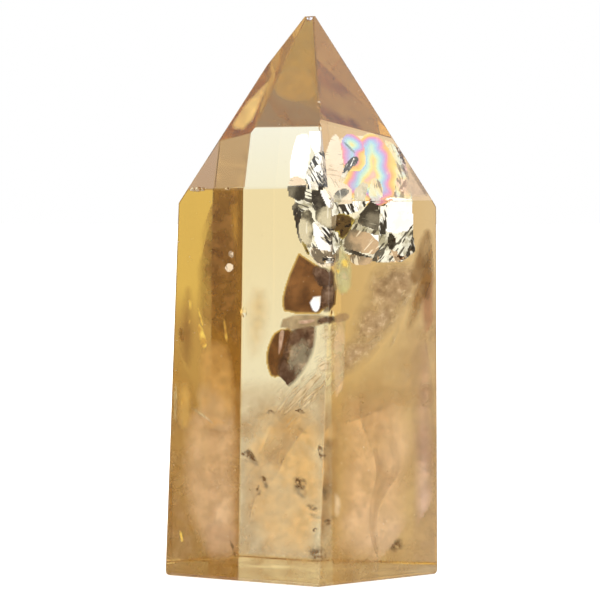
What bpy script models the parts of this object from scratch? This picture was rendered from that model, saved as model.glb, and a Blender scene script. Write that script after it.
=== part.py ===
"""Lemon topaz point: one polished six-sided tower of clear yellow quartz.

Metres, +Z up. The tower stands on its ground base, with the origin at the middle of its
footprint, and -Y is the front. It is made the way such a tower is ground: a sawn block is
cut back plane by plane to six leaning sides, six crown facets and a small flat tip, its
edges are broken with a fine bevel, and the knocks along them are scooped out last.
"""

from dataclasses import dataclass
from math import cos, radians, sin, tan

import bmesh
import bpy
import numpy as np
from mathutils import Euler, Matrix, Vector, noise

MM = 0.001

# Driving dimensions of the tower
HEIGHT = 80.0 * MM
BLOCK_SPAN = 60.0 * MM
BLOCK_TOP = 90.0 * MM
EDGE_BEVEL = 0.14 * MM
EDGE_SEGMENTS = 2
FOOT_BEVEL = 0.35 * MM
CREASE_ANGLE = radians(9.0)

# Clear yellow quartz
QUARTZ_IOR = 1.544
QUARTZ_TINT = (0.97, 0.86, 0.55, 1.0)
POLISH_ROUGHNESS = 0.03


@dataclass(frozen=True)
class Side:
    """One side of the tower and the crown facet above it.

    Azimuths are in degrees from the front (-Y) towards +X. A lean is how far, in degrees,
    the face's outward normal points upwards. The reach is from the tower's axis to the
    side at its foot, and the shoulder is the height at which the crown facet takes over.
    """

    name: str
    azimuth: float
    lean: float
    reach: float
    shoulder: float
    crown_azimuth: float
    crown_lean: float


SIDES = (
    Side("front_left", -26.0, 2.1, 15.56 * MM, 55.02 * MM, -26.53, 33.59),
    Side("front_right", 34.52, 0.03, 16.82 * MM, 53.34 * MM, 34.72, 33.55),
    Side("right", 95.0, 0.37, 18.97 * MM, 52.87 * MM, 93.0, 30.89),
    Side("back_right", 155.5, 1.5, 15.41 * MM, 58.6 * MM, 155.5, 25.37),
    Side("back_left", -145.5, 1.5, 17.39 * MM, 57.8 * MM, -145.5, 31.33),
    Side("left", -88.0, 2.14, 19.38 * MM, 52.94 * MM, -87.9, 32.59),
)

# A small extra facet takes the left crown facet back to the tip.
TIP_FACET_AZIMUTH = -87.6
TIP_FACET_LEAN = 37.7
TIP_FACET_REACH = 60.97 * MM


@dataclass(frozen=True)
class Nick:
    """A scooped chip on an edge, a share of the way from one corner to the other.

    A corner is named by the three faces that meet there. The stretch draws the scoop out
    along the edge, and the drop moves it off the edge towards the second shared face.
    """

    start: tuple
    end: tuple
    along: float
    radius: float
    depth: float
    stretch: float = 1.0
    drop: float = 0.0


LEFT_SHOULDER = ("front_left", "front_left_crown", "left_crown")
NEAR_SHOULDER = ("front_left", "front_left_crown", "front_right_crown")
NEAR_FOOT = ("front_left", "front_right", "foot")
NEAR_CORNER = ("front_left", "front_right", "front_right_crown")
LEFT_FOOT = ("front_left", "left", "foot")
LEFT_CORNER = ("front_left", "left", "left_crown")
RIGHT_SHOULDER = ("front_right", "front_right_crown", "right_crown")
RIGHT_FOOT = ("front_right", "right", "foot")
TIP = ("front_left_crown", "front_right_crown", "tip")
BACK_FOOT = ("back_right", "back_left", "foot")
BACK_SHOULDER = ("back_right", "back_right_crown", "back_left_crown")

NICKS = (
    Nick(LEFT_SHOULDER, NEAR_SHOULDER, 0.045, 0.45 * MM, 0.22 * MM, 1.5),
    Nick(LEFT_SHOULDER, NEAR_SHOULDER, 0.078, 0.50 * MM, 0.28 * MM, 1.7),
    Nick(LEFT_SHOULDER, NEAR_SHOULDER, 0.112, 0.40 * MM, 0.20 * MM, 1.7),
    Nick(LEFT_SHOULDER, NEAR_SHOULDER, 0.300, 0.35 * MM, 0.14 * MM, 1.6),
    Nick(NEAR_SHOULDER, TIP, 0.13, 0.45 * MM, 0.20 * MM, 2.2),
    Nick(NEAR_SHOULDER, TIP, 0.34, 0.40 * MM, 0.18 * MM, 2.6),
    Nick(NEAR_SHOULDER, TIP, 0.47, 0.50 * MM, 0.24 * MM, 2.0),
    Nick(NEAR_FOOT, NEAR_CORNER, 0.985, 0.50 * MM, 0.24 * MM, 1.4),
    Nick(NEAR_FOOT, NEAR_CORNER, 0.30, 0.40 * MM, 0.16 * MM, 1.9),
    Nick(LEFT_FOOT, NEAR_FOOT, 0.32, 0.40 * MM, 0.20 * MM, 1.2),
    Nick(LEFT_FOOT, NEAR_FOOT, 0.385, 0.35 * MM, 0.16 * MM, 1.2),
    Nick(LEFT_FOOT, LEFT_CORNER, 0.0, 1.10 * MM, 0.75 * MM),
    Nick(LEFT_FOOT, LEFT_CORNER, 0.71, 0.45 * MM, 0.16 * MM, 2.2),
    Nick(RIGHT_FOOT, RIGHT_SHOULDER, 0.0, 0.90 * MM, 0.55 * MM),
    Nick(RIGHT_SHOULDER, NEAR_CORNER, 0.42, 0.40 * MM, 0.16 * MM, 1.6),
    Nick(BACK_FOOT, BACK_SHOULDER, 0.62, 0.55 * MM, 0.25 * MM, 1.8),
)

# The pit broken out of the left front of the tip
TIP_PIT_RADIUS = 0.55 * MM
TIP_PIT_DEPTH = 0.38 * MM
TIP_PIT_DROP = 0.45 * MM

SCOOP_RIPPLE = 0.10
SCOOP_SCALE = 1.6


def bearing(azimuth):
    """The level unit vector at an azimuth in degrees, from the front towards +X."""
    return Vector((sin(radians(azimuth)), -cos(radians(azimuth)), 0.0))


def face_normal(azimuth, lean):
    """The outward unit normal of a face from its azimuth and lean in degrees."""
    level = bearing(azimuth) * cos(radians(lean))
    return level + Vector((0.0, 0.0, sin(radians(lean))))


def ground_planes():
    """Every plane the tower is cut to, by name, as (a point on it, its outward normal)."""
    planes = {
        "foot": (Vector((0.0, 0.0, 0.0)), Vector((0.0, 0.0, -1.0))),
        "tip": (Vector((0.0, 0.0, HEIGHT)), Vector((0.0, 0.0, 1.0))),
        "tip_facet": (
            bearing(TIP_FACET_AZIMUTH) * TIP_FACET_REACH,
            face_normal(TIP_FACET_AZIMUTH, TIP_FACET_LEAN),
        ),
    }
    for side in SIDES:
        outward = bearing(side.azimuth)
        foot = outward * side.reach
        inset = side.shoulder * tan(radians(side.lean))
        shoulder = outward * (side.reach - inset) + Vector((0.0, 0.0, side.shoulder))
        planes[side.name] = (foot, face_normal(side.azimuth, side.lean))
        crown = face_normal(side.crown_azimuth, side.crown_lean)
        planes[side.name + "_crown"] = (shoulder, crown)
    return planes


def corner(planes, names):
    """The point where three of the planes meet."""
    normals = np.array([planes[name][1] for name in names])
    offsets = [planes[name][1].dot(planes[name][0]) for name in names]
    return Vector(np.linalg.solve(normals, offsets))


def new_object(name, mesh_data, collection):
    """Fills a new mesh from a bmesh and puts its object in a collection."""
    mesh = bpy.data.meshes.new(name)
    mesh_data.to_mesh(mesh)
    mesh_data.free()
    made = bpy.data.objects.new(name, mesh)
    collection.objects.link(made)
    return made


def ground_tower(planes):
    """A sawn block cut back to the planes, as a bmesh with one face for each plane."""
    body = bmesh.new()
    size = Matrix.Diagonal((BLOCK_SPAN, BLOCK_SPAN, BLOCK_TOP * 2.0, 1.0))
    bmesh.ops.create_cube(body, size=1.0, matrix=size)
    for point, normal in planes.values():
        everything = body.verts[:] + body.edges[:] + body.faces[:]
        cut = bmesh.ops.bisect_plane(
            body, geom=everything, plane_co=point, plane_no=normal, clear_outer=True
        )
        rim = [item for item in cut["geom_cut"] if isinstance(item, bmesh.types.BMEdge)]
        bmesh.ops.contextual_create(body, geom=rim)
    bmesh.ops.recalc_face_normals(body, faces=body.faces[:])
    return body


def break_edges(body):
    """Bevels the foot's rim and then every other edge of the tower by its own width."""
    def is_foot(edge):
        return all(abs(vert.co.z) < EDGE_BEVEL for vert in edge.verts)

    for width, wanted in ((FOOT_BEVEL, True), (EDGE_BEVEL, False)):
        edges = [
            edge
            for edge in body.edges
            if is_foot(edge) == wanted and edge.calc_face_angle(0.0) > CREASE_ANGLE
        ]
        if not wanted:
            edges = [edge for edge in edges if edge.calc_length() > FOOT_BEVEL * 3.0]
        bmesh.ops.bevel(
            body,
            geom=edges,
            offset=width,
            segments=EDGE_SEGMENTS,
            profile=0.5,
            affect="EDGES",
            clamp_overlap=True,
        )


def scoop(name, radius, stretch, collection):
    """A rippled ball, drawn out along its own X, that breaks a chip from an edge."""
    ball = bmesh.new()
    bmesh.ops.create_icosphere(ball, subdivisions=2, radius=1.0)
    offset = Vector((len(collection.objects) * 3.7, 0.0, 0.0))
    for vert in ball.verts:
        ripple = noise.noise(vert.co * SCOOP_SCALE + offset)
        vert.co *= radius * (1.0 + SCOOP_RIPPLE * ripple)
        vert.co.x *= stretch
        vert.normal_update()
    for face in ball.faces:
        face.smooth = True
    cutter = new_object(name, ball, collection)
    cutter.hide_render = True
    cutter.display_type = "WIRE"
    return cutter


def place_scoop(cutter, middle, along, outward, lift):
    """Sets a scoop's long way along an edge, with its middle lifted outwards."""
    across = outward.cross(along).normalized()
    turn = Matrix((along, across, along.cross(across))).transposed().to_4x4()
    cutter.matrix_world = Matrix.Translation(middle + outward * lift) @ turn


def nick_cutters(planes, collection):
    """One scoop for each nick and one for the pit beside the tip."""
    for number, nick in enumerate(NICKS, 1):
        first, last = corner(planes, nick.start), corner(planes, nick.end)
        shared = [name for name in nick.start if name in nick.end]
        outward = sum((planes[name][1] for name in shared), Vector()).normalized()
        if nick.along == 0.0:
            outward = sum((planes[name][1] for name in nick.start), Vector()).normalized()
        cutter = scoop(f"nick_{number}", nick.radius, nick.stretch, collection)
        along = (last - first).normalized()
        along = (along - outward * along.dot(outward)).normalized()
        middle = first.lerp(last, nick.along)
        place_scoop(cutter, middle, along, outward, nick.radius - nick.depth)
    point, outward = planes["front_left_crown"]
    tip = corner(planes, TIP)
    level = Vector((0.0, 0.0, 1.0)).cross(outward).normalized()
    downhill = outward.cross(level).normalized() * -1.0
    middle = tip - level * TIP_PIT_DROP + downhill * TIP_PIT_DROP
    cutter = scoop("tip_pit", TIP_PIT_RADIUS, 1.0, collection)
    place_scoop(cutter, middle, level, outward, TIP_PIT_RADIUS - TIP_PIT_DEPTH)


def quartz_material():
    """Clear yellow quartz with a good polish."""
    material = bpy.data.materials.new("yellow_quartz")
    material.use_nodes = True
    shader = material.node_tree.nodes["Principled BSDF"]
    shader.inputs["Base Color"].default_value = QUARTZ_TINT
    shader.inputs["Metallic"].default_value = 0.0
    shader.inputs["Roughness"].default_value = POLISH_ROUGHNESS
    shader.inputs["IOR"].default_value = QUARTZ_IOR
    shader.inputs["Transmission Weight"].default_value = 1.0
    return material


def new_collection(name):
    """A fresh collection under the scene."""
    collection = bpy.data.collections.new(name)
    bpy.context.scene.collection.children.link(collection)
    return collection


def build():
    """Clears the scene and makes the tower."""
    for leftover in list(bpy.data.objects):
        bpy.data.objects.remove(leftover, do_unlink=True)
    parts = new_collection("lemon_topaz_point")
    cutters = new_collection("cutters")
    planes = ground_planes()
    body = ground_tower(planes)
    break_edges(body)
    crystal = new_object("crystal", body, parts)
    crystal.data.materials.append(quartz_material())
    nick_cutters(planes, cutters)
    chips = crystal.modifiers.new("chips", "BOOLEAN")
    chips.operation = "DIFFERENCE"
    chips.operand_type = "COLLECTION"
    chips.collection = cutters
    chips.solver = "EXACT"


build()
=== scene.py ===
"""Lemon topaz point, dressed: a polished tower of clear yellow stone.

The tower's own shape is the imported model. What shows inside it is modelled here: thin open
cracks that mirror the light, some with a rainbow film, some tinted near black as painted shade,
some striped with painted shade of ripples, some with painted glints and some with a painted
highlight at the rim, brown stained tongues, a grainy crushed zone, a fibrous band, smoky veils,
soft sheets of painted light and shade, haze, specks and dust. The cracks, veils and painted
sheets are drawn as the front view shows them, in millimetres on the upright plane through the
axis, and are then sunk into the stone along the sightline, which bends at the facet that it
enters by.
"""

import logging
import math
import random
from dataclasses import dataclass, field
from enum import Enum

import bpy
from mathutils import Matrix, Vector, noise
from mathutils.bvhtree import BVHTree


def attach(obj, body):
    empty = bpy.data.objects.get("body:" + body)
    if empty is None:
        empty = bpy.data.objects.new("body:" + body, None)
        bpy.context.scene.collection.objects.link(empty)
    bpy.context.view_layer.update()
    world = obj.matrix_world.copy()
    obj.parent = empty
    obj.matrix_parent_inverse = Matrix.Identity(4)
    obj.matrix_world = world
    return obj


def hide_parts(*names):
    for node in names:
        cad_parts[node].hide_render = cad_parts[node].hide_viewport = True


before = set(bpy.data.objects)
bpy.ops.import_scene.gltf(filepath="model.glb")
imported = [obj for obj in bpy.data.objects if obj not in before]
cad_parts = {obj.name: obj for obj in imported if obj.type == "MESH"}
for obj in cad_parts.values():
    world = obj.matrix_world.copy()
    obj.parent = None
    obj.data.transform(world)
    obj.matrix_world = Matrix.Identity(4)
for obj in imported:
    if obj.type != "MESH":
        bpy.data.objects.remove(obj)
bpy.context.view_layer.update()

MM = 0.001
BODY = "root"
NODE = "crystal"
STONE_IOR = 1.544
AIR_IN_STONE = 1.0 / STONE_IOR
REAR_SHARE = 0.12
BUMP_DEPTH = 0.1 * MM
FILM_PER_MM = 0.25
FILM_WANDER = 1.1
FILM_KINK = 0.6
FINE_GRAIN = 3.1
FIBRE_DRAW = (1.0, 0.16, 1.0)
FIBRE_PITCH = 0.5
FIBRE_KINK = 0.35
CORNER_CUTS = (0.25, 0.75)
NAME_SHIFT = 0.37
SHEET_MARKS = {"fade": "FLOAT", "rim": "FLOAT", "lay": "FLOAT_VECTOR", "tone": "FLOAT_COLOR"}
EYE = Vector((0.028 * MM, -347.316 * MM, 54.085 * MM))
LOOKS_DOWN = 2.51
LENS = 144.0
SENSOR = 36.0

logging.basicConfig(level=logging.INFO, format="%(message)s")
LOG = logging.getLogger("lemon_topaz_point")

Colour = tuple[float, float, float]
Point = tuple[float, float]
Triple = tuple[float, float, float]


def aim(azimuth: float, elevation: float) -> Vector:
    """Turns a bearing into a unit vector.

    Args:
        azimuth: Degrees from straight back (+Y) towards +X.
        elevation: Degrees above the level.

    Returns:
        The unit vector.
    """
    turn, rise = math.radians(azimuth), math.radians(elevation)
    return Vector((math.sin(turn) * math.cos(rise), math.cos(turn) * math.cos(rise), math.sin(rise)))


def opaque(colour: Colour) -> tuple[float, float, float, float]:
    """Gives a colour its fourth channel."""
    return (*colour, 1.0)


class Bench:
    """The modelling moves that the pieces share."""

    @staticmethod
    def clear() -> None:
        """Leaves nothing selected."""
        bpy.ops.object.select_all(action="DESELECT")

    @staticmethod
    def take(piece: bpy.types.Object) -> None:
        """Selects one piece and makes it the active one.

        Args:
            piece: The piece.
        """
        Bench.clear()
        piece.select_set(True)
        bpy.context.view_layer.objects.active = piece

    @staticmethod
    def settle(piece: bpy.types.Object) -> None:
        """Puts a piece's place, turn and scale into its mesh."""
        Bench.take(piece)
        bpy.ops.object.transform_apply(location=True, rotation=True, scale=True)

    @staticmethod
    def join(pieces: list[bpy.types.Object], name: str) -> bpy.types.Object:
        """Joins pieces into one mesh.

        Args:
            pieces: What is joined, the first of which stays.
            name: The joined piece's name.

        Returns:
            The joined piece.
        """
        Bench.clear()
        for piece in pieces:
            piece.select_set(True)
        bpy.context.view_layer.objects.active = pieces[0]
        if len(pieces) > 1:
            bpy.ops.object.join()
        joined = bpy.context.view_layer.objects.active
        joined.name = name
        joined.data.name = name
        return joined

    @staticmethod
    def dress(piece: bpy.types.Object, material: bpy.types.Material) -> None:
        """Gives a piece one material in its one slot, and says what it rides on.

        Args:
            piece: The piece.
            material: Its material.
        """
        piece.data.materials.clear()
        piece.data.materials.append(material)
        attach(piece, BODY)


class Sightlines:
    """Follows the front view into the stone, bent at the facet that it enters by."""

    FACE_AREA = 4.0 * MM * MM
    SKIN = 0.25 * MM

    def __init__(self, stone: bpy.types.Object) -> None:
        """Reads the stone's facets.

        Args:
            stone: The polished stone, with whole faces.
        """
        mesh = stone.data
        corners = [vert.co.copy() for vert in mesh.vertices]
        faces = [tuple(face.vertices) for face in mesh.polygons]
        self.tree = BVHTree.FromPolygons(corners, faces)
        self.planes = [
            (face.center.copy(), face.normal.copy())
            for face in mesh.polygons
            if face.area > self.FACE_AREA
        ]

    def ray(self, across: float, up: float) -> Vector:
        """The unit vector from the eye to a place on the upright plane through the axis."""
        return (Vector((across, 0.0, up)) - EYE).normalized()

    def facet(self, across: float, up: float) -> tuple[Vector, Vector]:
        """Finds the facet that a place is seen through.

        Args:
            across: Metres to the right of the axis.
            up: Metres above the base.

        Returns:
            A point on the facet and its outward normal.
        """
        hit = self.tree.ray_cast(EYE, self.ray(across, up))[0]
        return min(self.planes, key=lambda plane: abs((hit - plane[0]).dot(plane[1])))

    def enter(self, across: float, up: float, facet: tuple[Vector, Vector]) -> tuple[Vector, Vector]:
        """Bends a sightline at a facet's plane.

        Args:
            across: Metres to the right of the axis.
            up: Metres above the base.
            facet: A point on the facet and its outward normal.

        Returns:
            Where the sightline enters and its unit direction inside.
        """
        ray = self.ray(across, up)
        point, normal = facet
        start = EYE + ray * ((point - EYE).dot(normal) / ray.dot(normal))
        steep = -ray.dot(normal)
        inner = math.sqrt(1.0 - AIR_IN_STONE**2 * (1.0 - steep**2))
        return start, (ray * AIR_IN_STONE + normal * (AIR_IN_STONE * steep - inner)).normalized()

    def inside(self, point: Vector) -> bool:
        """Whether a point lies under the stone's skin."""
        return all((point - base).dot(normal) < -self.SKIN for base, normal in self.planes)


@dataclass(frozen=True)
class Relief:
    """How a crack's face swells and crumples, in millimetres."""

    swell: float = 0.25
    swell_size: float = 3.0
    grit: float = 0.0
    grit_size: float = 0.5
    fine_share: float = 0.5
    fine_ratio: float = 0.45

    def height(self, across: float, up: float, seed: float) -> float:
        """How far the face stands out at a place on it.

        Args:
            across: Metres across the sheet.
            up: Metres up the sheet.
            seed: The sheet's own shift of the pattern.

        Returns:
            The height in metres.
        """
        place = Vector((across / MM, up / MM, seed))
        high = self.swell * noise.noise(place / self.swell_size)
        if self.grit:
            high += self.grit * abs(noise.noise(place / self.grit_size))
            high += self.grit * self.fine_share * noise.noise(place / (self.grit_size * self.fine_ratio))
        return high * MM


@dataclass(frozen=True)
class Sheet:
    """One thin crack or veil, drawn as the front view shows it.

    The outline is in millimetres and convex. The depth is how far behind the facet the middle
    lies, along the sightline. What it throws is the bearing (azimuth and elevation, in degrees)
    in which a mirror lying in the sheet would throw the sightline. The lay is the bearing, in
    degrees from level, across which its ribs and fibres are counted. Softening is the width in
    millimetres over which it fades in from its outline. The tone is painted light and shade: the
    tone that a painted light and shade sheet shows in its place.
    """

    name: str
    outline: tuple[Point, ...]
    depth: float
    throws: Point
    relief: Relief = Relief()
    lay: float = 0.0
    soften: float = 0.0
    rounds: int = 1
    cell: float = 0.16
    tone: Colour = (1.0, 1.0, 1.0)

    def edge_points(self) -> list[Vector]:
        """The outline with its corners cut back, so that it reads as a smooth curve.

        Returns:
            The points, in metres, in the upright plane.
        """
        points = [Vector((x * MM, 0.0, z * MM)) for x, z in self.outline]
        for _ in range(self.rounds):
            pairs = zip(points, points[1:] + points[:1])
            points = [a.lerp(b, share) for a, b in pairs for share in CORNER_CUTS]
        return points

    def flat(self) -> tuple[bpy.types.Object, list[tuple[Vector, Vector]]]:
        """Cuts a flat grid to the outline.

        Returns:
            The flat piece, and each side of its outline as a point and outward normal.
        """
        points = self.edge_points()
        low_x, high_x = min(p.x for p in points), max(p.x for p in points)
        low_z, high_z = min(p.z for p in points), max(p.z for p in points)
        middle = Vector(((low_x + high_x) / 2, 0.0, (low_z + high_z) / 2))
        wide, tall = high_x - low_x, high_z - low_z
        Bench.clear()
        bpy.ops.mesh.primitive_grid_add(
            x_subdivisions=max(2, round(wide / (self.cell * MM))),
            y_subdivisions=max(2, round(tall / (self.cell * MM))),
            size=1.0,
            location=middle,
            rotation=(math.pi / 2, 0.0, 0.0),
        )
        piece = bpy.context.object
        piece.name = self.name
        piece.scale = (wide, tall, 1.0)
        Bench.settle(piece)
        heart = sum(points, Vector()) / len(points)
        sides = []
        bpy.ops.object.mode_set(mode="EDIT")
        for a, b in zip(points, points[1:] + points[:1]):
            run = b - a
            outward = Vector((run.z, 0.0, -run.x)).normalized()
            if (heart - a).dot(outward) > 0.0:
                outward.negate()
            sides.append((a, outward))
            bpy.ops.mesh.select_all(action="SELECT")
            bpy.ops.mesh.bisect(plane_co=a, plane_no=outward, clear_outer=True)
        bpy.ops.object.mode_set(mode="OBJECT")
        return piece, sides

    def build(self, sight: Sightlines) -> bpy.types.Object:
        """Sinks the sheet into the stone.

        Args:
            sight: The sightlines into the stone.

        Returns:
            The sunk piece.
        """
        piece, sides = self.flat()
        mesh = piece.data
        heart = sum((vert.co for vert in mesh.vertices), Vector()) / len(mesh.vertices)
        facet = sight.facet(heart.x, heart.z)
        start, inward = sight.enter(heart.x, heart.z, facet)
        middle = start + inward * self.depth * MM
        normal = (aim(*self.throws) - inward).normalized()
        level = normal.orthogonal().normalized()
        steep = normal.cross(level)
        seed = sum(ord(letter) for letter in self.name) * NAME_SHIFT
        turn = math.radians(self.lay)
        over = Vector((math.cos(turn), 0.0, math.sin(turn)))
        along = Vector((-math.sin(turn), 0.0, math.cos(turn)))
        for name, kind in SHEET_MARKS.items():
            mesh.attributes.new(name, kind, "POINT")
        fades, rims, lays, tones = (mesh.attributes[name].data for name in SHEET_MARKS)
        # The sheet's tone of painted light and shade, which only the painted light and shade sheets show.
        tones.foreach_set("color", opaque(self.tone) * len(mesh.vertices))
        for number, vert in enumerate(mesh.vertices):
            seen = vert.co.copy()
            start, inward = sight.enter(seen.x, seen.z, facet)
            reach = (middle - start).dot(normal) / inward.dot(normal)
            point = start + inward * reach
            offset = point - middle
            high = self.relief.height(offset.dot(level), offset.dot(steep), seed)
            vert.co = point + inward * (high / inward.dot(normal))
            gap = min(-(seen - base).dot(outward) for base, outward in sides) / MM
            fades[number].value = min(1.0, gap / self.soften) if self.soften else 1.0
            rims[number].value = gap
            lays[number].vector = (seen.dot(over) / MM, seen.dot(along) / MM, seed)
        self.trim(piece, sight)
        return piece

    @staticmethod
    def trim(piece: bpy.types.Object, sight: Sightlines) -> None:
        """Cuts away what would reach through the stone's skin.

        Args:
            piece: The sunk sheet.
            sight: The sightlines, which know the stone's facets.
        """
        Bench.take(piece)
        for base, outward in sight.planes:
            reach = max((vert.co - base).dot(outward) for vert in piece.data.vertices)
            if reach > -sight.SKIN:
                bpy.ops.object.mode_set(mode="EDIT")
                bpy.ops.mesh.select_all(action="SELECT")
                bpy.ops.mesh.bisect(
                    plane_co=base - outward * sight.SKIN, plane_no=outward, clear_outer=True
                )
                bpy.ops.object.mode_set(mode="OBJECT")
        piece.data.polygons.foreach_set("use_smooth", [True] * len(piece.data.polygons))


class Shade:
    """A small hand for wiring one material or one group of shader nodes."""

    def __init__(self, tree: bpy.types.NodeTree) -> None:
        """Takes the tree to wire."""
        self.tree = tree
        self.inlet: bpy.types.Node | None = None
        self.outlet: bpy.types.Node | None = None

    @classmethod
    def material(cls, name: str) -> tuple[bpy.types.Material, "Shade", bpy.types.Node]:
        """Starts a material.

        Args:
            name: The material's name.

        Returns:
            The material, its wiring hand and its Principled shader.
        """
        material = bpy.data.materials.new(name)
        material.use_nodes = True
        return material, cls(material.node_tree), material.node_tree.nodes["Principled BSDF"]

    @classmethod
    def group(cls, name: str, takes: dict[str, float], gives: dict[str, str]) -> "Shade":
        """Starts a node group.

        Args:
            name: The group's name.
            takes: The number inputs, with their usual values.
            gives: The outputs, with their socket types.

        Returns:
            The group's wiring hand.
        """
        tree = bpy.data.node_groups.new(name, "ShaderNodeTree")
        for label, value in takes.items():
            socket = tree.interface.new_socket(label, in_out="INPUT", socket_type="NodeSocketFloat")
            socket.default_value = value
        for label, kind in gives.items():
            tree.interface.new_socket(label, in_out="OUTPUT", socket_type=kind)
        hand = cls(tree)
        hand.inlet = tree.nodes.new("NodeGroupInput")
        hand.outlet = tree.nodes.new("NodeGroupOutput")
        return hand

    def add(self, kind: str, values: dict | None = None, **settings: object) -> bpy.types.Node:
        """Adds a node.

        Args:
            kind: The node's type, without its ShaderNode prefix.
            values: Its inputs by name or number: a socket to link, or a value to set.
            **settings: The node's own settings.

        Returns:
            The node.
        """
        node = self.tree.nodes.new("ShaderNode" + kind)
        for name, value in settings.items():
            setattr(node, name, value)
        for name, value in (values or {}).items():
            self.set(node.inputs[name], value)
        return node

    def set(self, socket: bpy.types.NodeSocket, value: object) -> None:
        """Links a socket to another, or sets its value.

        Args:
            socket: The socket that takes it.
            value: The other socket, or the value.
        """
        if isinstance(value, bpy.types.NodeSocket):
            self.tree.links.new(value, socket)
        else:
            socket.default_value = value

    def place(self, group: "Shade", **values: object) -> bpy.types.Node:
        """Puts a node group in the tree with its own values.

        Args:
            group: The group's wiring hand.
            **values: Its inputs by name, in small letters.

        Returns:
            The group's node.
        """
        node = self.tree.nodes.new("ShaderNodeGroup")
        node.node_tree = group.tree
        for name, value in values.items():
            self.set(node.inputs[name.replace("_", " ").capitalize()], value)
        return node

    def here(self) -> bpy.types.NodeSocket:
        """The Object coordinates."""
        return self.add("TexCoord").outputs["Object"]

    def own(self, name: str) -> bpy.types.NodeSocket:
        """A value that the piece's own points carry."""
        return self.add("Attribute", attribute_name=name).outputs["Fac"]

    def seen(self, amount: object, rear: float) -> bpy.types.NodeSocket:
        """Lets only a share of a face's body show where it is met from behind.

        Args:
            amount: How much of the body shows from the front.
            rear: The share of it behind.

        Returns:
            The body on either side.
        """
        behind = self.add("NewGeometry").outputs["Backfacing"]
        lost = self.math("MULTIPLY", behind, 1.0 - rear)
        return self.math("MULTIPLY", amount, self.math("SUBTRACT", 1.0, lost))

    def math(self, work: str, first: object, second: object = 0.0) -> bpy.types.NodeSocket:
        """One step of arithmetic."""
        node = self.add("Math", {0: first, 1: second}, operation=work)
        return node.outputs[0]

    def metal(self, shader: bpy.types.Node, colour: object, roughness: float, body: object) -> None:
        """Makes a crack mirror the light.

        Args:
            shader: The material's Principled shader.
            colour: The mirror's tone.
            roughness: How blurred it is.
            body: How much of it shows, before its own fade and its back are counted.
        """
        self.set(shader.inputs["Base Color"], colour)
        self.set(shader.inputs["Metallic"], 1.0)
        self.set(shader.inputs["Roughness"], roughness)
        body = self.math("MULTIPLY", body, self.own("fade"))
        self.set(shader.inputs["Alpha"], self.seen(body, REAR_SHARE))

    def ridges(self, shader: bpy.types.Node, height: object, strength: float) -> None:
        """Gives a crack fine bumps by a height.

        Args:
            shader: The material's Principled shader.
            height: The height.
            strength: How strongly it tilts the face.
        """
        bump = self.add("Bump", {"Height": height, "Strength": strength, "Distance": BUMP_DEPTH})
        self.set(shader.inputs["Normal"], bump.outputs["Normal"])

    def span(
        self, value: object, low: float, high: float, to: Point = (0.0, 1.0)
    ) -> bpy.types.NodeSocket:
        """Stretches a span of values to another, held at its ends and eased.

        Args:
            value: What is stretched.
            low: The low end of its span.
            high: The high end of its span.
            to: Both ends of the new span.

        Returns:
            The stretched value.
        """
        node = self.add(
            "MapRange",
            {"Value": value, "From Min": low, "From Max": high, "To Min": to[0], "To Max": to[1]},
            interpolation_type="SMOOTHSTEP",
        )
        return node.outputs["Result"]

    def clouds(
        self, place: object, scale: float, detail: float = 2.0, **more: object
    ) -> bpy.types.NodeSocket:
        """Soft noise at a scale given in cycles per metre.

        Args:
            place: Where it is read.
            scale: Its scale.
            detail: How many finer layers it has.
            **more: Other inputs of the noise node.

        Returns:
            The noise.
        """
        values = {"Vector": place, "Scale": scale, "Detail": detail}
        values.update(more)
        return self.add("TexNoise", values).outputs["Fac"]

    def blend(self, amount: object, first: object, second: object) -> bpy.types.NodeSocket:
        """Mixes two colours.

        Args:
            amount: The second one's share.
            first: A colour, or a socket that gives one.
            second: A colour, or a socket that gives one.

        Returns:
            The mixed colour.
        """
        node = self.add("Mix", {0: amount}, data_type="RGBA")
        self.set(node.inputs[6], first if not isinstance(first, tuple) else opaque(first))
        self.set(node.inputs[7], second if not isinstance(second, tuple) else opaque(second))
        return node.outputs[2]

    def ramp(self, amount: object, stops: tuple[tuple[float, Colour], ...]) -> bpy.types.NodeSocket:
        """Turns a value into a colour by stops along a ramp.

        Args:
            amount: The value, from 0 to 1.
            stops: Each stop's place and colour.

        Returns:
            The colour.
        """
        node = self.add("ValToRGB", {0: amount})
        band = node.color_ramp
        while len(band.elements) < len(stops):
            band.elements.new(1.0)
        for element, (place, colour) in zip(band.elements, stops):
            element.position = place
            element.color = opaque(colour)
        return node.outputs["Color"]


FILM_COLOURS: tuple[tuple[float, Colour], ...] = (
    (0.00, (0.80, 0.68, 0.50)),
    (0.12, (0.80, 0.60, 0.16)),
    (0.24, (0.78, 0.42, 0.12)),
    (0.34, (0.70, 0.26, 0.42)),
    (0.43, (0.46, 0.36, 0.62)),
    (0.54, (0.36, 0.58, 0.68)),
    (0.65, (0.55, 0.72, 0.52)),
    (0.76, (0.80, 0.64, 0.20)),
    (0.88, (0.76, 0.42, 0.36)),
    (1.00, (0.80, 0.68, 0.50)),
)


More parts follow.
